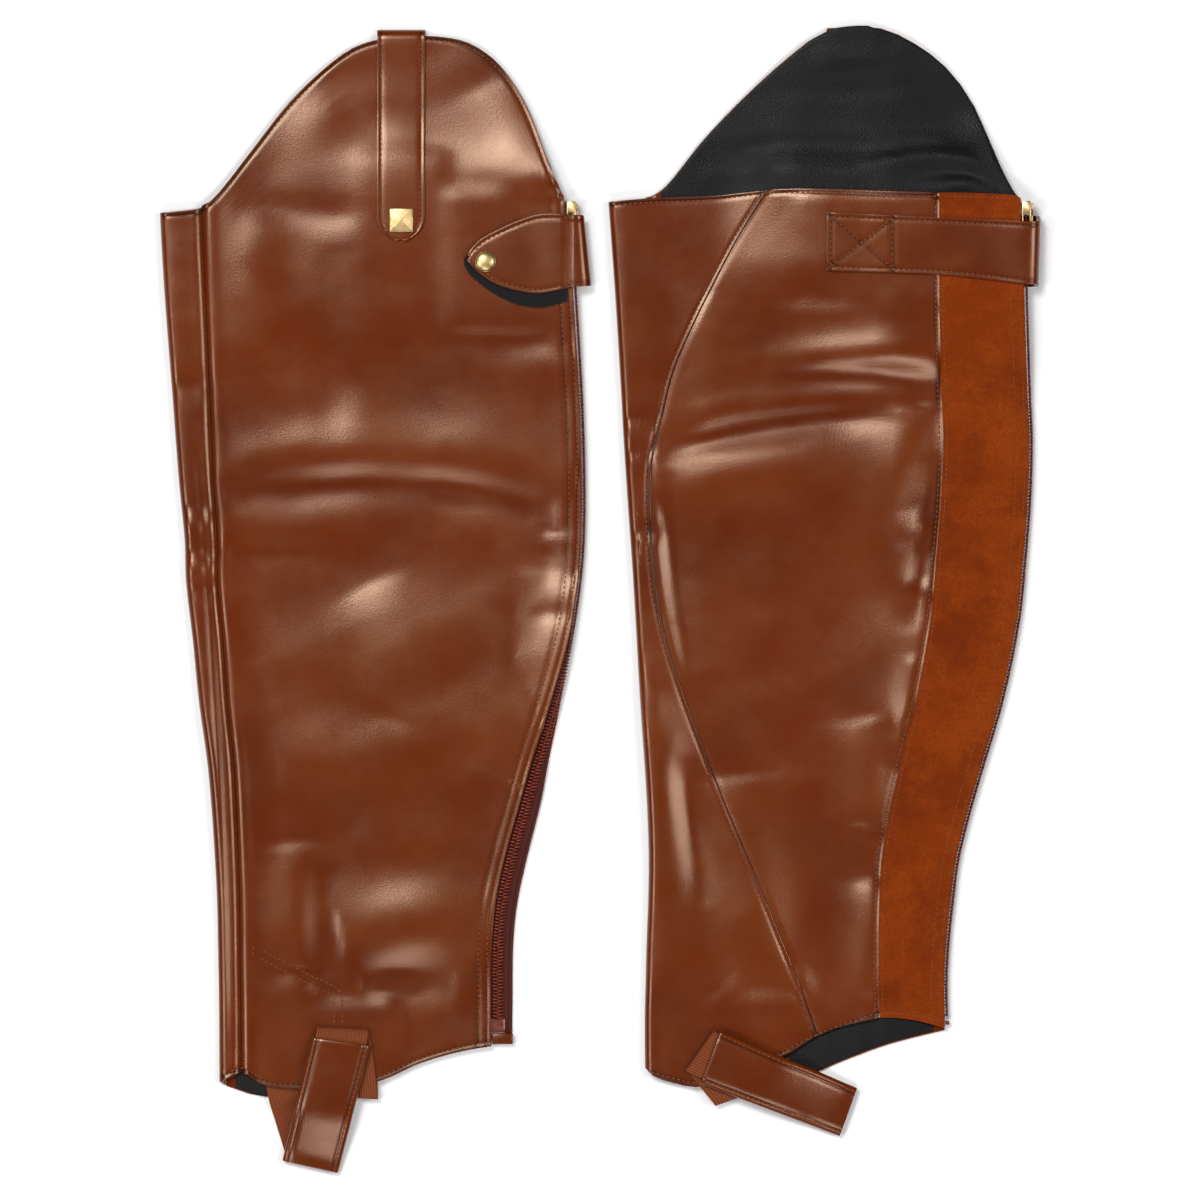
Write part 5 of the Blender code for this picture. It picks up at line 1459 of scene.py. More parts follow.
def elastic_web(side, material):
    """The elastic webbing, folded under the foot as it lies."""
    near_x, near_h, far_x, far_h, z = smoothed([tuple(row) for row in ELASTICS[side]], 5)
    share = np.linspace(0, 1, 13)[None, :]
    x = mix(near_x[:, None], far_x[:, None], share)
    h = mix(near_h[:, None], far_h[:, None], share)
    points = GAITERS[side].world(x, h, np.broadcast_to(z[:, None], x.shape))
    piece = cloth(side + "_elastic_web", points, ELASTIC, offset=0.0, rim=0.3)
    finish(piece, material, "elastic", "gaiters", side + "_foot_elastic")
    declare(points)


def sleeve_leather(side, material):
    """The leather sleeve: a tube pressed flat round the elastic."""
    near_x, near_h, far_x, far_h, z = smoothed([tuple(row) for row in SLEEVES[side]], 6)
    turns = np.linspace(0, 2 * math.pi, SLEEVE_AROUND, endpoint=False)
    across = np.sign(np.cos(turns)) * np.abs(np.cos(turns)) ** 0.25
    up = np.sign(np.sin(turns)) * np.abs(np.sin(turns)) ** 0.6
    wide = np.hypot(far_x - near_x, far_h - near_h)
    inset = (SLEEVE_WALL / wide)[:, None]
    share = mix(inset, 1 - inset, (across[None, :] + 1) / 2)
    x = mix(near_x[:, None], far_x[:, None], share)
    h = mix(near_h[:, None], far_h[:, None], share)
    level = z[:, None] + SLEEVE_WALL + (1 + up[None, :]) * SLEEVE_ROOM / 2
    from_edge = (1 - np.abs(across[None, :])) * wide[:, None] / 2
    sunk = bell(from_edge - SLEEVE_ROW, 0.9) * (up[None, :] > 0)
    level = level + SLEEVE_CROWN * (1 - across**2) * (up > 0) - 1.5 * CHANNEL * sunk
    points = GAITERS[side].world(x, h, level)
    outward = np.cross(points[1, 0] - points[0, 0], points[0, 1] - points[0, 0])
    middle = points[0].mean(axis=0)
    if np.dot(outward, points[0, 0] - middle) > 0:
        points, sunk = points[:, ::-1], sunk[:, ::-1]
    # Painted shade along the sleeve's stitched rows.
    piece = cloth(side + "_sleeve_leather", points, SLEEVE_WALL, -sunk, closed=True, rim=0.35)
    finish(piece, material, "leather", "gaiters", side + "_foot_sleeve")
    declare(points, closed=True)


# Stitching


def stitch_row(name, line, on, below=False, *, side, settings, material):
    """A row of stitches along a line of (x, height) places, laid on the pieces that carry it."""
    gaiter = GAITERS[side]
    line = np.array(line, dtype=float)
    steps = np.linalg.norm(np.diff(line, axis=0), axis=1)
    run = np.concatenate([[0], np.cumsum(steps)])
    count = max(int(run[-1] / settings.stitch_pitch), 2)
    at = (np.arange(count) + 0.5) * run[-1] / count
    x, h = np.interp(at, run, line[:, 0]), np.interp(at, run, line[:, 1])
    ahead_x = np.interp(at + 0.4, run, line[:, 0]) - np.interp(at - 0.4, run, line[:, 0])
    ahead_h = np.interp(at + 0.4, run, line[:, 1]) - np.interp(at - 0.4, run, line[:, 1])
    trees = trees_of(*on)
    spots, ways, ups = [], [], []
    for i, (px, py, _) in enumerate(gaiter.world(x, h, 0)):
        hit = surface_at(trees, px, py, below)
        if hit is None:
            continue
        spot, normal = hit
        if (normal.z < 0) != below:
            normal = -normal
        spot = spot + normal * 0.12 * settings.thread * MM
        if below:
            spot.z = max(spot.z, settings.thread / 2 * MM)
        spots.append(spot)
        ways.append((ahead_x[i], ahead_h[i], 0.0))
        ups.append(normal)
    shape = pill(settings.stitch_length * MM, settings.thread / 2 * MM, 6, 1.3)
    spots, ways, ups = np.array(spots), np.array(ways), np.array(ups)
    piece = copies(f"{side}_{name}", shape, spots, ways, ups)
    finish(piece, material, "leather", "gaiters")


def offset_line(line, distance):
    """A line moved sideways, to its left for a positive distance."""
    line = np.array(line, dtype=float)
    ahead = np.gradient(line, axis=0)
    ahead = ahead / np.linalg.norm(ahead, axis=1, keepdims=True)
    return line + distance * np.stack([-ahead[:, 1], ahead[:, 0]], axis=1)


def panel_stitching(side, settings, material):
    """The rows on the big panels: hem, top edge, zip band and seams, on both faces."""
    gaiter = GAITERS[side]
    sew = functools.partial(stitch_row, side=side, settings=settings, material=material)
    for face in ("lateral", "medial"):
        below = face == gaiter.lower
        wall = gaiter.wall(face)
        shin, suede = side + "_shin_leather", side + "_calf_suede"
        body = f"{side}_{face}_leather"
        pieces = [shin, body] + ([suede] if face == "medial" else [])
        x = np.arange(gaiter.fold(0.0) + 4, gaiter.panel_edge(wall, 25.0) - 1.5, 1.0)
        line = np.stack([x, gaiter.hem(face, x)], axis=1)
        name = face + "_hem_stitches"
        sew(name, offset_line(line, HEM_ROW), pieces, below)
        medial = face == "medial"
        start = gaiter.fold(PANEL_TOP) + 4 if medial else gaiter.seam(face, PANEL_TOP) + 1
        x = np.arange(start, gaiter.panel_edge(wall, PANEL_TOP) - 1.5, 1.0)
        line = np.stack([x, gaiter.edge_top(face, x)], axis=1)
        name = face + "_top_stitches"
        sew(name, offset_line(line, -TOP_ROW), pieces, below)
        h = np.arange(gaiter.hem(face, gaiter.zip(20.0)) + 4, PANEL_TOP - 6, 2.0)
        edge = suede if face == "medial" else body
        for number, inset in enumerate(ZIP_ROWS):
            line = np.stack([gaiter.panel_edge(wall, h) - inset, h], axis=1)
            name = f"{face}_zip_stitches_{number + 1}"
            sew(name, line, [edge], below)
    below = gaiter.lower == "medial"
    pieces = [side + "_shin_leather", side + "_medial_leather", side + "_calf_suede"]
    h = np.arange(gaiter.hem("medial", gaiter.seam("medial", 15.0)) + 3, PANEL_TOP - 3, 2.0)
    line = np.stack([gaiter.seam("medial", h) - SEAM_ROW, h], axis=1)
    sew("curved_seam_stitches", line, pieces[:2], below)
    h = np.arange(gaiter.hem("medial", gaiter.suede(25.0)) + 3, PANEL_TOP, 2.0)
    for number, away in enumerate(SUEDE_ROWS):
        line = np.stack([gaiter.suede(h) + away, h], axis=1)
        name = f"suede_seam_stitches_{number + 1}"
        sew(name, line, pieces[1:], below)


def toe_stitching(side, settings, material):
    """Two rows that hold the toe's inner piece, with a short bar at their start."""
    gaiter = GAITERS[side]
    below = gaiter.lower == "lateral"
    sew = functools.partial(stitch_row, side=side, settings=settings, material=material)
    pieces = [side + "_lateral_leather"]
    line = TOE_LINE + np.array([gaiter.fold(40.0) - GAITERS["left"].fold(40.0), 0.0])
    sew("toe_stitches_1", line, pieces, below)
    sew("toe_stitches_2", offset_line(line, -TOE_APART), pieces, below)
    bar_line = [line[0] + np.array((-4.5, 3.0)), line[0] + np.array((-5.0, -2.5))]
    sew("toe_bar_stitches", bar_line, pieces, below)


def strap_stitching(side, settings, material):
    """Rows round the flap, along the strap's edges, and the crossed box on its sewn end."""
    gaiter = GAITERS[side]
    _, legs = strap_parts(side)
    sew = functools.partial(stitch_row, side=side, settings=settings, material=material)
    strap = [side + "_strap_leather"]
    flap_low = gaiter.upper == "medial"
    sewn = legs[1] if flap_low else legs[0]
    flap = legs[0] if flap_low else legs[1]
    x, h = flap if not flap_low else (flap[0][::-1], flap[1][::-1])
    top = np.stack([x[:, -1], h[:, -1]], axis=1)
    bottom = np.stack([x[:, 0], h[:, 0]], axis=1)
    outline = np.vstack([top, bottom[::-1]])
    line = offset_line(resampled(outline, 160), STRAP_ROW)
    sew("flap_stitches", line, strap, flap_low)
    x, h = sewn if flap_low else (sewn[0][::-1], sewn[1][::-1])
    for name, column, way in (("upper", -1, -1), ("lower", 0, 1)):
        line = np.stack([x[:, column], h[:, column] + way * STRAP_ROW], axis=1)
        sew(f"strap_{name}_stitches", line, strap, not flap_low)
    end_x = x[:, 0].min() + STRAP_ROW
    far_x = end_x + BOX_WIDE
    h_low, h_high = h[-1, 0] + STRAP_ROW, h[-1, -1] - STRAP_ROW
    corners = [(end_x, h_low), (end_x, h_high), (far_x, h_high - 0.6), (far_x, h_low - 0.6)]
    for number, (a, b) in enumerate(((0, 1), (2, 3), (0, 2), (1, 3))):
        line = resampled(np.array([corners[a], corners[b]]), 20)
        sew(f"box_stitches_{number + 1}", line, strap, not flap_low)


def tab_stitching(side, settings, material):
    """The row round the tab on the raised top."""
    size = TABS[side]
    sew = functools.partial(stitch_row, side=side, settings=settings, material=material)
    radius = (size.right - size.left) / 2 - TAB_ROW
    middle = (size.right + size.left) / 2 + 0.2
    turns = np.radians(np.linspace(180, 360, 25))
    arc = np.stack([middle + radius * np.cos(turns), TAB_END + radius * np.sin(turns)], axis=1)
    left = np.array([[middle - radius, size.height - 3.0]])
    right = np.array([[middle + radius, size.height - 3.0]])
    line = np.vstack([left, arc, right])
    below = GAITERS[side].upper == "medial"
    sew("tab_stitches", line, [side + "_top_tab_leather"], below)


def sleeve_stitching(side, settings, material):
    """A row along each edge of the sleeve."""
    sew = functools.partial(stitch_row, side=side, settings=settings, material=material)
    near_x, near_h, far_x, far_h, _ = smoothed([tuple(row) for row in SLEEVES[side]], 6)
    wide = np.hypot(far_x - near_x, far_h - near_h)
    for number, share in enumerate((SLEEVE_ROW / wide, 1 - SLEEVE_ROW / wide)):
        line = np.stack([mix(near_x, far_x, share), mix(near_h, far_h, share)], axis=1)[1:-1]
        sew(f"sleeve_stitches_{number + 1}", line, [side + "_sleeve_leather"])


# Finishes


def new_finish(name, **values):
    """A material with its Principled shader's sockets set, and helpers to reach its tree."""
    material = bpy.data.materials.new(name)
    material.use_nodes = True
    shader = material.node_tree.nodes["Principled BSDF"]
    for socket, value in values.items():
        shader.inputs[socket.replace("_", " ")].default_value = value
    return material, material.node_tree, shader


def add_node(tree, kind, inputs=(), **values):
    """Adds a node, sets its values, and fills sockets from numbers or other sockets."""
    node = tree.nodes.new(kind)
    for key, value in values.items():
        setattr(node, key, value)
    for key, value in dict(inputs).items():
        if isinstance(value, bpy.types.NodeSocket):
            tree.links.new(value, node.inputs[key])
        else:
            node.inputs[key].default_value = value
    return node


def place_of(tree):
    return add_node(tree, "ShaderNodeTexCoord").outputs["Object"]


def noise_of(tree, scale, detail=4.0, rough=0.55, place=None):
    place = place or place_of(tree)
    inputs = {"Vector": place, "Scale": scale, "Detail": detail, "Roughness": rough}
    return add_node(tree, "ShaderNodeTexNoise", inputs).outputs["Fac"]


def blend_of(tree, share, first, second, how="MIX"):
    """Mixes two colours. A share may be a number or a socket."""
    node = add_node(tree, "ShaderNodeMix", data_type="RGBA", blend_type=how)
    for key, value in ((0, share), (6, first), (7, second)):
        if isinstance(value, bpy.types.NodeSocket):
            tree.links.new(value, node.inputs[key])
        else:
            node.inputs[key].default_value = (*value, 1) if key > 0 and len(value) == 3 else value
    return node.outputs[2]


def span_of(tree, value, low, high, to_low=0.0, to_high=1.0):
    inputs = {
        "Value": value,
        "From Min": low,
        "From Max": high,
        "To Min": to_low,
        "To Max": to_high,
    }
    return add_node(tree, "ShaderNodeMapRange", inputs).outputs["Result"]


def sum_of(tree, first, second, how="ADD"):
    return add_node(tree, "ShaderNodeMath", {0: first, 1: second}, operation=how).outputs[0]


def bump_of(tree, shader, height, strength, distance):
    inputs = {"Height": height, "Strength": strength, "Distance": distance}
    bump = add_node(tree, "ShaderNodeBump", inputs)
    tree.links.new(bump.outputs["Normal"], shader.inputs["Normal"])


def leather_finish(colours):
    """Polished leather: mottled brown, with painted shade in creases, seam grooves, stitched rows
    and at rims, a painted highlight on raised places, and a fine grain.
    """
    material, tree, shader = new_finish("polished leather", Specular_IOR_Level=0.6)
    shader.inputs["Specular Tint"].default_value = (1.0, 0.72, 0.52, 1)
    place = place_of(tree)
    worn = add_node(tree, "ShaderNodeAttribute", attribute_name="worn").outputs["Fac"]
    broad = span_of(tree, noise_of(tree, 14.0, 3.0, 0.5, place), 0.3, 0.62, 0.45, 1.0)
    colour = blend_of(tree, broad, colours.leather_dark_and_shade, colours.leather)
    cloudy = span_of(tree, noise_of(tree, 42.0, 2.0, 0.5, place), 0.5, 0.8, 0.0, 0.35)
    colour = blend_of(tree, cloudy, colour, colours.leather_light_and_highlight)
    flecks = span_of(tree, noise_of(tree, 420.0, 3.0, 0.6, place), 0.6, 0.85, 0.0, 0.35)
    colour = blend_of(tree, flecks, colour, colours.leather_dark_and_shade)
    # Painted shade where the per-point value is below zero: creases, rims, stitched rows and
    # seams.
    shade = span_of(tree, worn, -0.1, -1.0, 0.0, 0.85)
    colour = blend_of(tree, shade, colour, colours.leather_dark_and_shade)
    # Deeper painted shade in seam grooves and stitched rows.
    groove = span_of(tree, worn, -0.5, -1.0, 0.0, 0.8)
    colour = blend_of(tree, groove, colour, colours.groove_shade)
    # Painted highlight on raised places.
    painted_highlight = span_of(tree, worn, 0.1, 1.0, 0.0, 0.35)
    colour = blend_of(tree, painted_highlight, colour, colours.leather_light_and_highlight)
    tree.links.new(colour, shader.inputs["Base Color"])
    gloss = span_of(tree, noise_of(tree, 45.0, 4.0, 0.6, place), 0.3, 0.75, 0.2, 0.29)
    tree.links.new(gloss, shader.inputs["Roughness"])
    cells = add_node(tree, "ShaderNodeTexVoronoi", {"Vector": place, "Scale": 950.0})
    grain = sum_of(tree, cells.outputs["Distance"], 0.5, "MULTIPLY")
    fine = sum_of(tree, grain, noise_of(tree, 2100.0, 2.0, 0.5, place))
    soft = sum_of(tree, noise_of(tree, 130.0, 3.0, 0.5, place), 0.5, "MULTIPLY")
    bump_of(tree, shader, sum_of(tree, fine, soft), 0.28, 0.0001)
    return material


def suede_finish(colours):
    """Brushed suede: soft warm nap with darker rubbed patches."""
    material, tree, shader = new_finish(
        "brushed suede",
        Roughness=0.95,
        Specular_IOR_Level=0.08,
        Sheen_Weight=0.08,
        Sheen_Roughness=0.4,
    )
    shader.inputs["Sheen Tint"].default_value = (*colours.suede_light, 1)
    place = place_of(tree)
    patches = span_of(tree, noise_of(tree, 44.0, 6.0, 0.7, place), 0.4, 0.62)
    colour = blend_of(tree, patches, colours.suede, colours.suede_light)
    rubbed = span_of(tree, noise_of(tree, 20.0, 6.0, 0.75, place), 0.48, 0.6, 0.0, 0.75)
    colour = blend_of(tree, rubbed, colour, colours.suede_dark)
    nap = span_of(tree, noise_of(tree, 750.0, 4.0, 0.7, place), 0.4, 0.65, 0.0, 0.5)
    colour = blend_of(tree, nap, colour, colours.suede_dark)
    tree.links.new(colour, shader.inputs["Base Color"])
    bump_of(tree, shader, noise_of(tree, 1600.0, 3.0, 0.7, place), 0.5, 0.0002)
    return material


def lining_finish(colours):
    """Smooth black lining leather with a low sheen."""
    material, tree, shader = new_finish("black lining", Specular_IOR_Level=0.13)
    place = place_of(tree)
    shade = span_of(tree, noise_of(tree, 30.0, 4.0, 0.6, place), 0.3, 0.75)
    colour = blend_of(tree, shade, colours.lining, colours.lining_light)
    tree.links.new(colour, shader.inputs["Base Color"])
    gloss = span_of(tree, noise_of(tree, 70.0, 3.0, 0.5, place), 0.3, 0.7, 0.36, 0.5)
    tree.links.new(gloss, shader.inputs["Roughness"])
    cells = add_node(tree, "ShaderNodeTexVoronoi", {"Vector": place, "Scale": 1100.0})
    bump_of(tree, shader, cells.outputs["Distance"], 0.5, 0.0002)
    return material


def felt_finish(colours):
    """Black hook-and-loop felt with a fuzzy pile."""
    material, tree, shader = new_finish(
        "black felt", Roughness=1.0, Specular_IOR_Level=0.1, Sheen_Weight=0.25, Sheen_Roughness=0.6
    )
    place = place_of(tree)
    fuzz = noise_of(tree, 700.0, 5.0, 0.75, place)
    colour = blend_of(tree, span_of(tree, fuzz, 0.4, 0.75), colours.felt, colours.lining_light)
    tree.links.new(colour, shader.inputs["Base Color"])
    bump_of(tree, shader, fuzz, 0.9, 0.0004)
    return material


def toned_finish(name, low_tone, high_tone, scale, low, high, **values):
    """A plain finish whose tone drifts between two colours."""
    material, tree, shader = new_finish(name, **values)
    tone = span_of(tree, noise_of(tree, scale, 2.0, 0.5), low, high)
    colour = blend_of(tree, tone, low_tone, high_tone)
    tree.links.new(colour, shader.inputs["Base Color"])
    return material


def thread_finish(colours):
    """Waxed thread with a slight twist of tone."""
    tones = colours.thread, colours.thread_light
    values = {"Roughness": 0.7, "Specular_IOR_Level": 0.15}
    return toned_finish("waxed thread", *tones, 1300.0, 0.35, 0.7, **values)


def woven_finish(name, colour_low, colour_high, threads, rib_strength, rough):
    """Woven tape: ribs along its length from its own map, with fine cross threads; its colour
    follows the weave's height, paler on raised threads as a painted highlight and darker between
    them as painted shade.
    """
    material, tree, shader = new_finish(name, Roughness=rough, Specular_IOR_Level=0.3)
    cut = add_node(tree, "ShaderNodeUVMap", uv_map="cut").outputs["UV"]
    parts = add_node(tree, "ShaderNodeSeparateXYZ", {"Vector": cut})
    ribs = sum_of(tree, sum_of(tree, parts.outputs["X"], threads, "MULTIPLY"), 0.0, "SINE")
    cross = sum_of(tree, sum_of(tree, parts.outputs["Y"], threads * 1.9, "MULTIPLY"), 0.0, "SINE")
    weave = sum_of(tree, ribs, sum_of(tree, cross, 0.45, "MULTIPLY"))
    share = span_of(tree, weave, -1.45, 1.45)
    # Painted highlight on raised threads and painted shade between them, from the same height as
    # the bump.
    colour = blend_of(tree, share, colour_low, colour_high)
    tree.links.new(colour, shader.inputs["Base Color"])
    bump_of(tree, shader, share, rib_strength, 0.0003)
    return material


def coil_finish(colours):
    """Polished nylon wire."""
    tones = colours.coil, colours.coil_light
    values = {"Roughness": 0.3, "Specular_IOR_Level": 0.3}
    return toned_finish("nylon coil", *tones, 500.0, 0.3, 0.7, **values)


def gold_finish(colours):
    """Pale gold plate with faint handling marks."""
    material, tree, shader = new_finish("pale gold plate", Metallic=0.88)
    place = place_of(tree)
    tone = span_of(tree, noise_of(tree, 260.0, 3.0, 0.6, place), 0.3, 0.7)
    colour = blend_of(tree, tone, colours.gold, colours.gold_light)
    tree.links.new(colour, shader.inputs["Base Color"])
    rough = span_of(tree, noise_of(tree, 900.0, 3.0, 0.6, place), 0.3, 0.7, 0.3, 0.42)
    tree.links.new(rough, shader.inputs["Roughness"])
    return material


def film_finish(colours):
    """Dark film over the tape's end."""
    tones = colours.tape, colours.coil_light
    values = {"Roughness": 0.28, "Specular_IOR_Level": 0.5}
    return toned_finish("tape film", *tones, 300.0, 0.3, 0.7, **values)


FINISHES = {
    "leather": leather_finish,
    "suede": suede_finish,
    "lining": lining_finish,
    "felt": felt_finish,
    "thread": thread_finish,
    "tape": lambda c: woven_finish("zip tape weave", c.tape, c.tape_light, 9000.0, 0.5, 0.75),
    "elastic": lambda c: woven_finish(
        "ribbed elastic", c.elastic, c.elastic_light, 5200.0, 0.9, 0.8
    ),
    "coil": coil_finish,
    "gold": gold_finish,
    "film": film_finish,
}
made_finishes = {}


def finish_named(name):
    if name not in made_finishes:
        made_finishes[name] = FINISHES[name](bpy.context.scene.gaiter_colours)
    return made_finishes[name]


# Settings that a user can change


def colour_setting(name, colour, words):
    return FloatVectorProperty(
        name=name, description=words, default=colour, size=3, min=0, max=1, subtype="COLOR"
    )


class GaiterSizes(bpy.types.PropertyGroup):
    mesh_step: FloatProperty(
        name="Mesh step",
        description="Spacing of points on the upper walls in mm",
        default=2.6,
        min=1,
    )
    stitch_pitch: FloatProperty(
        name="Stitch pitch", description="Distance between stitches in mm", default=2.5, min=1
    )
    stitch_length: FloatProperty(
        name="Stitch length", description="Length of one stitch in mm", default=2.0, min=0.5
    )
    thread: FloatProperty(
        name="Thread", description="Thickness of the thread in mm", default=0.6, min=0.2
    )


class GaiterColours(bpy.types.PropertyGroup):
    leather: colour_setting("Leather", (0.126, 0.0185, 0.0018), "Main tone of the leather")
    # The dark leather tone is both random darker patches and painted shade in creases; the groove
    # tone is painted shade in seams and stitched rows; the light leather tone is both random paler
    # clouds and a painted highlight on raised places.
    leather_dark_and_shade: colour_setting("Dark leather", (0.07, 0.0085, 0.0014), "Creases and patches")
    groove_shade: colour_setting("Grooves", (0.02, 0.0025, 0.0008), "Seams and stitched rows")
    leather_light_and_highlight: colour_setting("Light leather", (0.18, 0.042, 0.0065), "Polished places")
    suede: colour_setting("Suede", (0.195, 0.028, 0.0018), "Main tone of the suede")
    suede_dark: colour_setting("Dark suede", (0.13, 0.018, 0.0022), "Brushed down nap")
    suede_light: colour_setting("Light suede", (0.25, 0.04, 0.003), "Brushed up nap")
    lining: colour_setting("Lining", (0.003, 0.003, 0.0033), "Lining of the raised top")
    lining_light: colour_setting("Light lining", (0.007, 0.007, 0.0075), "Rubbed lining")
    felt: colour_setting("Felt", (0.004, 0.004, 0.005), "Felt patch")
    thread: colour_setting("Thread", (0.17, 0.042, 0.011), "Stitching")
    thread_light: colour_setting("Light thread", (0.29, 0.085, 0.024), "Stitching, lit strands")
    # The light zip tape tone goes on the raised threads, as a painted highlight.
    tape: colour_setting("Zip tape", (0.045, 0.0045, 0.002), "Zip tape")
    tape_light: colour_setting("Light zip tape", (0.085, 0.011, 0.0045), "Raised threads")
    coil: colour_setting("Coil", (0.09, 0.01, 0.005), "Zip coil")
    coil_light: colour_setting("Light coil", (0.22, 0.035, 0.018), "Zip coil, paler turns")
    # The light elastic tone goes on the ribs, as a painted highlight.
    elastic: colour_setting("Elastic", (0.11, 0.02, 0.004), "Elastic webbing")
    elastic_light: colour_setting("Light elastic", (0.26, 0.06, 0.013), "Ribs of the elastic")
    gold: colour_setting("Gold", (0.36, 0.24, 0.095), "Snap, stud and slider")
    gold_light: colour_setting("Light gold", (0.58, 0.44, 0.22), "Snap, stud and slider, polished")
    floor: colour_setting("Floor", (0.93, 0.93, 0.93), "The surface that the pair lies on")


def step_size():
    return bpy.context.scene.gaiter_sizes.mesh_step


# One operator for each kind of piece


class GAITERS_OT_shin_panels(bpy.types.Operator):
    """Builds the shin panels that fold round the front of each gaiter"""

    bl_idname = "gaiters.shin_panels"
    bl_label = "Shin panels"

    def execute(self, context):
        for side in SIDES:
            shin_leather(side, step_size(), finish_named("leather"))
        return {"FINISHED"}


class GAITERS_OT_lateral_panels(bpy.types.Operator):
    """Builds the outer panels with their raised tops"""

    bl_idname = "gaiters.lateral_panels"
    bl_label = "Lateral panels"

    def execute(self, context):
        for side in SIDES:
            wall_leather(side, "lateral", step_size(), finish_named("leather"))
        return {"FINISHED"}


class GAITERS_OT_medial_panels(bpy.types.Operator):
    """Builds the inner leather panels"""

    bl_idname = "gaiters.medial_panels"
    bl_label = "Medial panels"

    def execute(self, context):
        for side in SIDES:
            wall_leather(side, "medial", step_size(), finish_named("leather"))
        return {"FINISHED"}


class GAITERS_OT_calf_suedes(bpy.types.Operator):
    """Builds the suede panels beside the zips"""

    bl_idname = "gaiters.calf_suedes"
    bl_label = "Calf suede"

    def execute(self, context):
        for side in SIDES:
            wall_leather(side, "suede", step_size(), finish_named("suede"))
        return {"FINISHED"}


class GAITERS_OT_linings(bpy.types.Operator):
    """Builds the black linings of the raised tops and hems"""

    bl_idname = "gaiters.linings"
    bl_label = "Linings"

    def execute(self, context):
        for side in SIDES:
            raised_lining(side, step_size(), finish_named("lining"))
            hem_lining_cloth(side, step_size(), finish_named("lining"))
        return {"FINISHED"}


class GAITERS_OT_zip_cloths(bpy.types.Operator):
    """Builds the zip tapes with the film and leather at their foot"""

    bl_idname = "gaiters.zip_cloths"
    bl_label = "Zip tapes"

    def execute(self, context):
        for side in SIDES:
            zip_cloth(side, step_size(), finish_named("tape"))
            end_leather(side, finish_named("leather"))
        tape_film("left", finish_named("film"))
        return {"FINISHED"}


class GAITERS_OT_coils(bpy.types.Operator):
    """Builds the loops of the zip coils"""

    bl_idname = "gaiters.coils"
    bl_label = "Zip coils"

    def execute(self, context):
        for side in SIDES:
            coil_loops(side, finish_named("coil"))
        return {"FINISHED"}


class GAITERS_OT_sliders(bpy.types.Operator):
    """Models the zip sliders and their pulls"""

    bl_idname = "gaiters.sliders"
    bl_label = "Sliders and pulls"

    def execute(self, context):
        for side in SIDES:
            slider_body(side, finish_named("gold"))
            pull_tab(side, finish_named("gold"))
        return {"FINISHED"}


class GAITERS_OT_straps(bpy.types.Operator):
    """Builds the felt patches and the closing straps round the head of each zip"""

    bl_idname = "gaiters.straps"
    bl_label = "Straps"

    def execute(self, context):
        for side in SIDES:
            felt_piece(side, finish_named("felt"))
            strap_leather(side, finish_named("leather"))
        return {"FINISHED"}


class GAITERS_OT_top_tabs(bpy.types.Operator):
    """Builds the tabs over the raised tops"""

    bl_idname = "gaiters.top_tabs"
    bl_label = "Top tabs"

    def execute(self, context):
        for side in SIDES:
            top_tab_leather(side, finish_named("leather"))
        return {"FINISHED"}


class GAITERS_OT_studs(bpy.types.Operator):
    """Models the square studs and the snap caps"""

    bl_idname = "gaiters.studs"
    bl_label = "Studs and snaps"

    def execute(self, context):
        for side in SIDES:
            stud_metal(side, finish_named("gold"))
            snap_metal(side, finish_named("gold"))
        return {"FINISHED"}


class GAITERS_OT_foot_straps(bpy.types.Operator):
    """Builds the elastics under the foot and their leather sleeves"""

    bl_idname = "gaiters.foot_straps"
    bl_label = "Foot straps"

    def execute(self, context):
        for side in SIDES:
            elastic_web(side, finish_named("elastic"))
            sleeve_leather(side, finish_named("leather"))
        return {"FINISHED"}


class GAITERS_OT_stitching(bpy.types.Operator):
    """Sews every row of stitches onto the leather that carries it"""

    bl_idname = "gaiters.stitching"
    bl_label = "Stitching"

    def execute(self, context):
        settings = context.scene.gaiter_sizes
        for side in SIDES:
            for sew in (
                panel_stitching,
                toe_stitching,
                strap_stitching,
                tab_stitching,
                sleeve_stitching,
            ):
                sew(side, settings, finish_named("thread"))
        return {"FINISHED"}


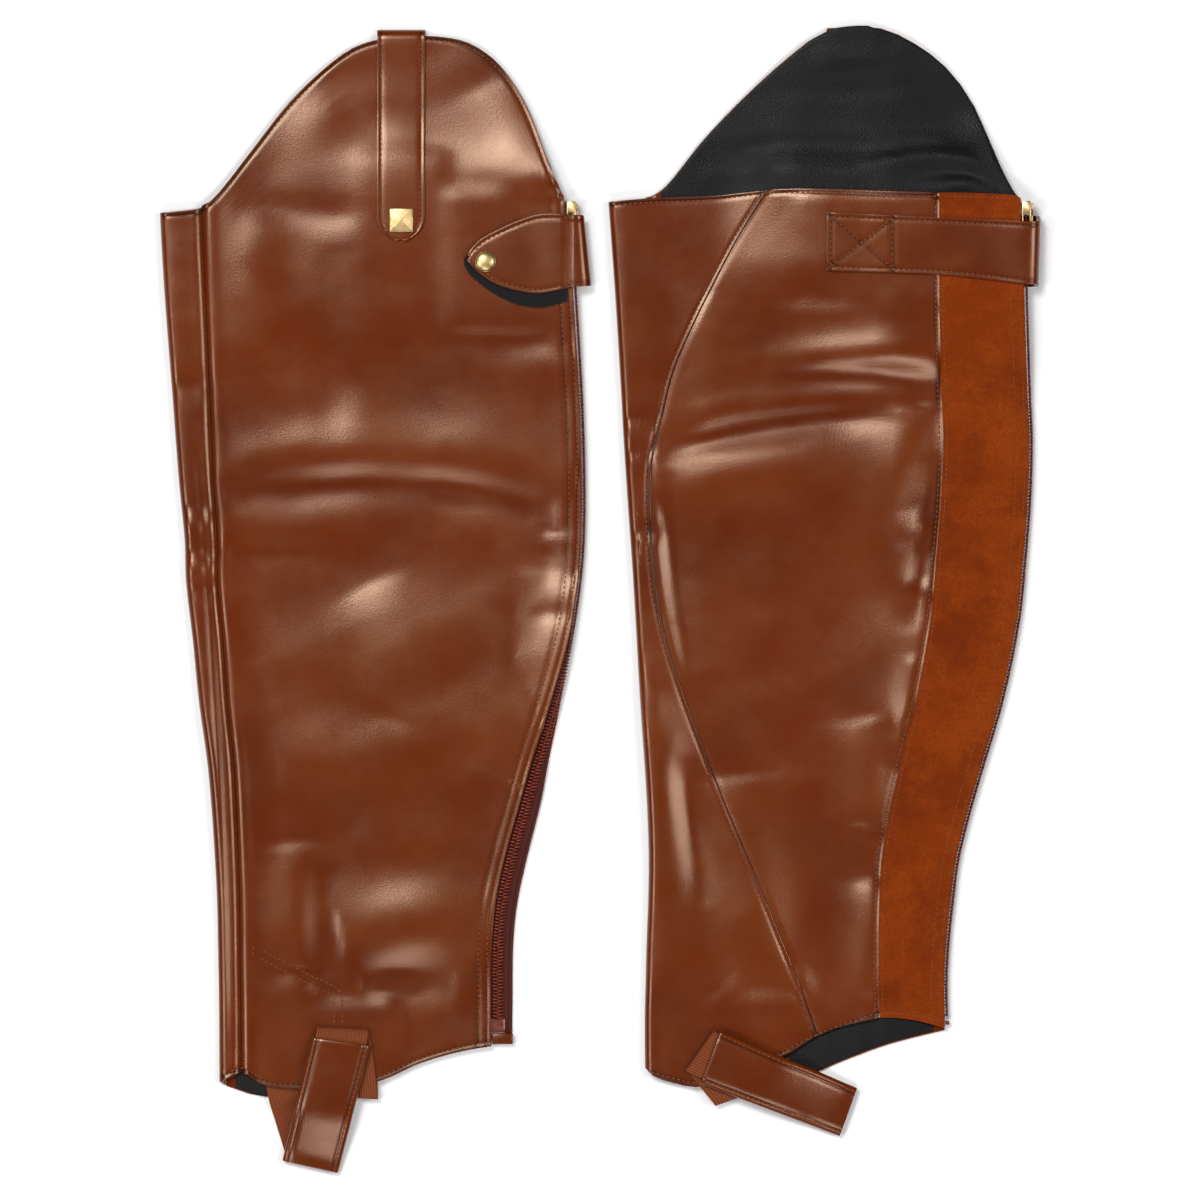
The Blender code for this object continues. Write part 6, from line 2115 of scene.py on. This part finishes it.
class GAITERS_OT_stage(bpy.types.Operator):
    """Sets up the pale floor, the soft lights and the camera overhead"""

    bl_idname = "gaiters.stage"
    bl_label = "Stage"

    def execute(self, context):
        clear_selection()
        bpy.ops.mesh.primitive_plane_add(size=FLOOR_SIZE, location=(0, 0, 0))
        floor = context.active_object
        floor.name = "floor"
        material, tree, shader = new_finish("pale floor", Roughness=0.9)
        tone = span_of(tree, noise_of(tree, 2.0), 0.3, 0.7, 0.99, 1.0)
        colour = blend_of(tree, tone, (0, 0, 0), context.scene.gaiter_colours.floor)
        tree.links.new(colour, shader.inputs["Base Color"])
        floor.data.materials.append(material)
        for light in LIGHTS:
            clear_selection()
            bpy.ops.object.light_add(type="AREA", location=(light.x, light.y, light.z))
            lamp = context.active_object
            lamp.name = light.name
            lamp.data.shape = "RECTANGLE"
            lamp.data.size = light.wide
            lamp.data.size_y = light.deep
            lamp.data.energy = light.power
            aim = Vector((0, 0, 0)) - lamp.location
            lamp.rotation_euler = aim.to_track_quat("-Z", "Y").to_euler()
        world = bpy.data.worlds.new("studio")
        world.use_nodes = True
        sky = world.node_tree.nodes["Background"]
        sky.inputs["Color"].default_value = (1, 1, 1, 1)
        sky.inputs["Strength"].default_value = WORLD_LIGHT
        context.scene.world = world
        clear_selection()
        bpy.ops.object.camera_add(location=CAMERA_AT, rotation=(0, 0, 0))
        camera = context.active_object
        camera.data.sensor_width = SENSOR
        camera.data.lens = CAMERA_AT[2] * SENSOR / PICTURE_WIDE
        camera.data.clip_end = 20
        context.scene.camera = camera
        context.scene.view_settings.view_transform = "Standard"
        return {"FINISHED"}


class GAITERS_PT_panel(bpy.types.Panel):
    """Lists the gaiters' pieces in the order they are built"""

    bl_idname = "GAITERS_PT_panel"
    bl_label = "Leather gaiters"
    bl_space_type = "VIEW_3D"
    bl_region_type = "UI"
    bl_category = "Gaiters"

    def draw(self, context):
        for operator in OPERATORS:
            self.layout.operator(operator.bl_idname)


OPERATORS = (
    GAITERS_OT_stage,
    GAITERS_OT_shin_panels,
    GAITERS_OT_lateral_panels,
    GAITERS_OT_medial_panels,
    GAITERS_OT_calf_suedes,
    GAITERS_OT_linings,
    GAITERS_OT_zip_cloths,
    GAITERS_OT_coils,
    GAITERS_OT_sliders,
    GAITERS_OT_straps,
    GAITERS_OT_top_tabs,
    GAITERS_OT_studs,
    GAITERS_OT_foot_straps,
    GAITERS_OT_stitching,
)
CLASSES = (GaiterSizes, GaiterColours, *OPERATORS, GAITERS_PT_panel)


def register():
    for kind in CLASSES:
        bpy.utils.register_class(kind)
    bpy.types.Scene.gaiter_sizes = PointerProperty(type=GaiterSizes)
    bpy.types.Scene.gaiter_colours = PointerProperty(type=GaiterColours)


def unregister():
    del bpy.types.Scene.gaiter_colours
    del bpy.types.Scene.gaiter_sizes
    for kind in reversed(CLASSES):
        bpy.utils.unregister_class(kind)


def main():
    register()
    for operator in OPERATORS:
        group, name = operator.bl_idname.split(".")
        getattr(getattr(bpy.ops, group), name)()


if __name__ == "__main__":
    main()
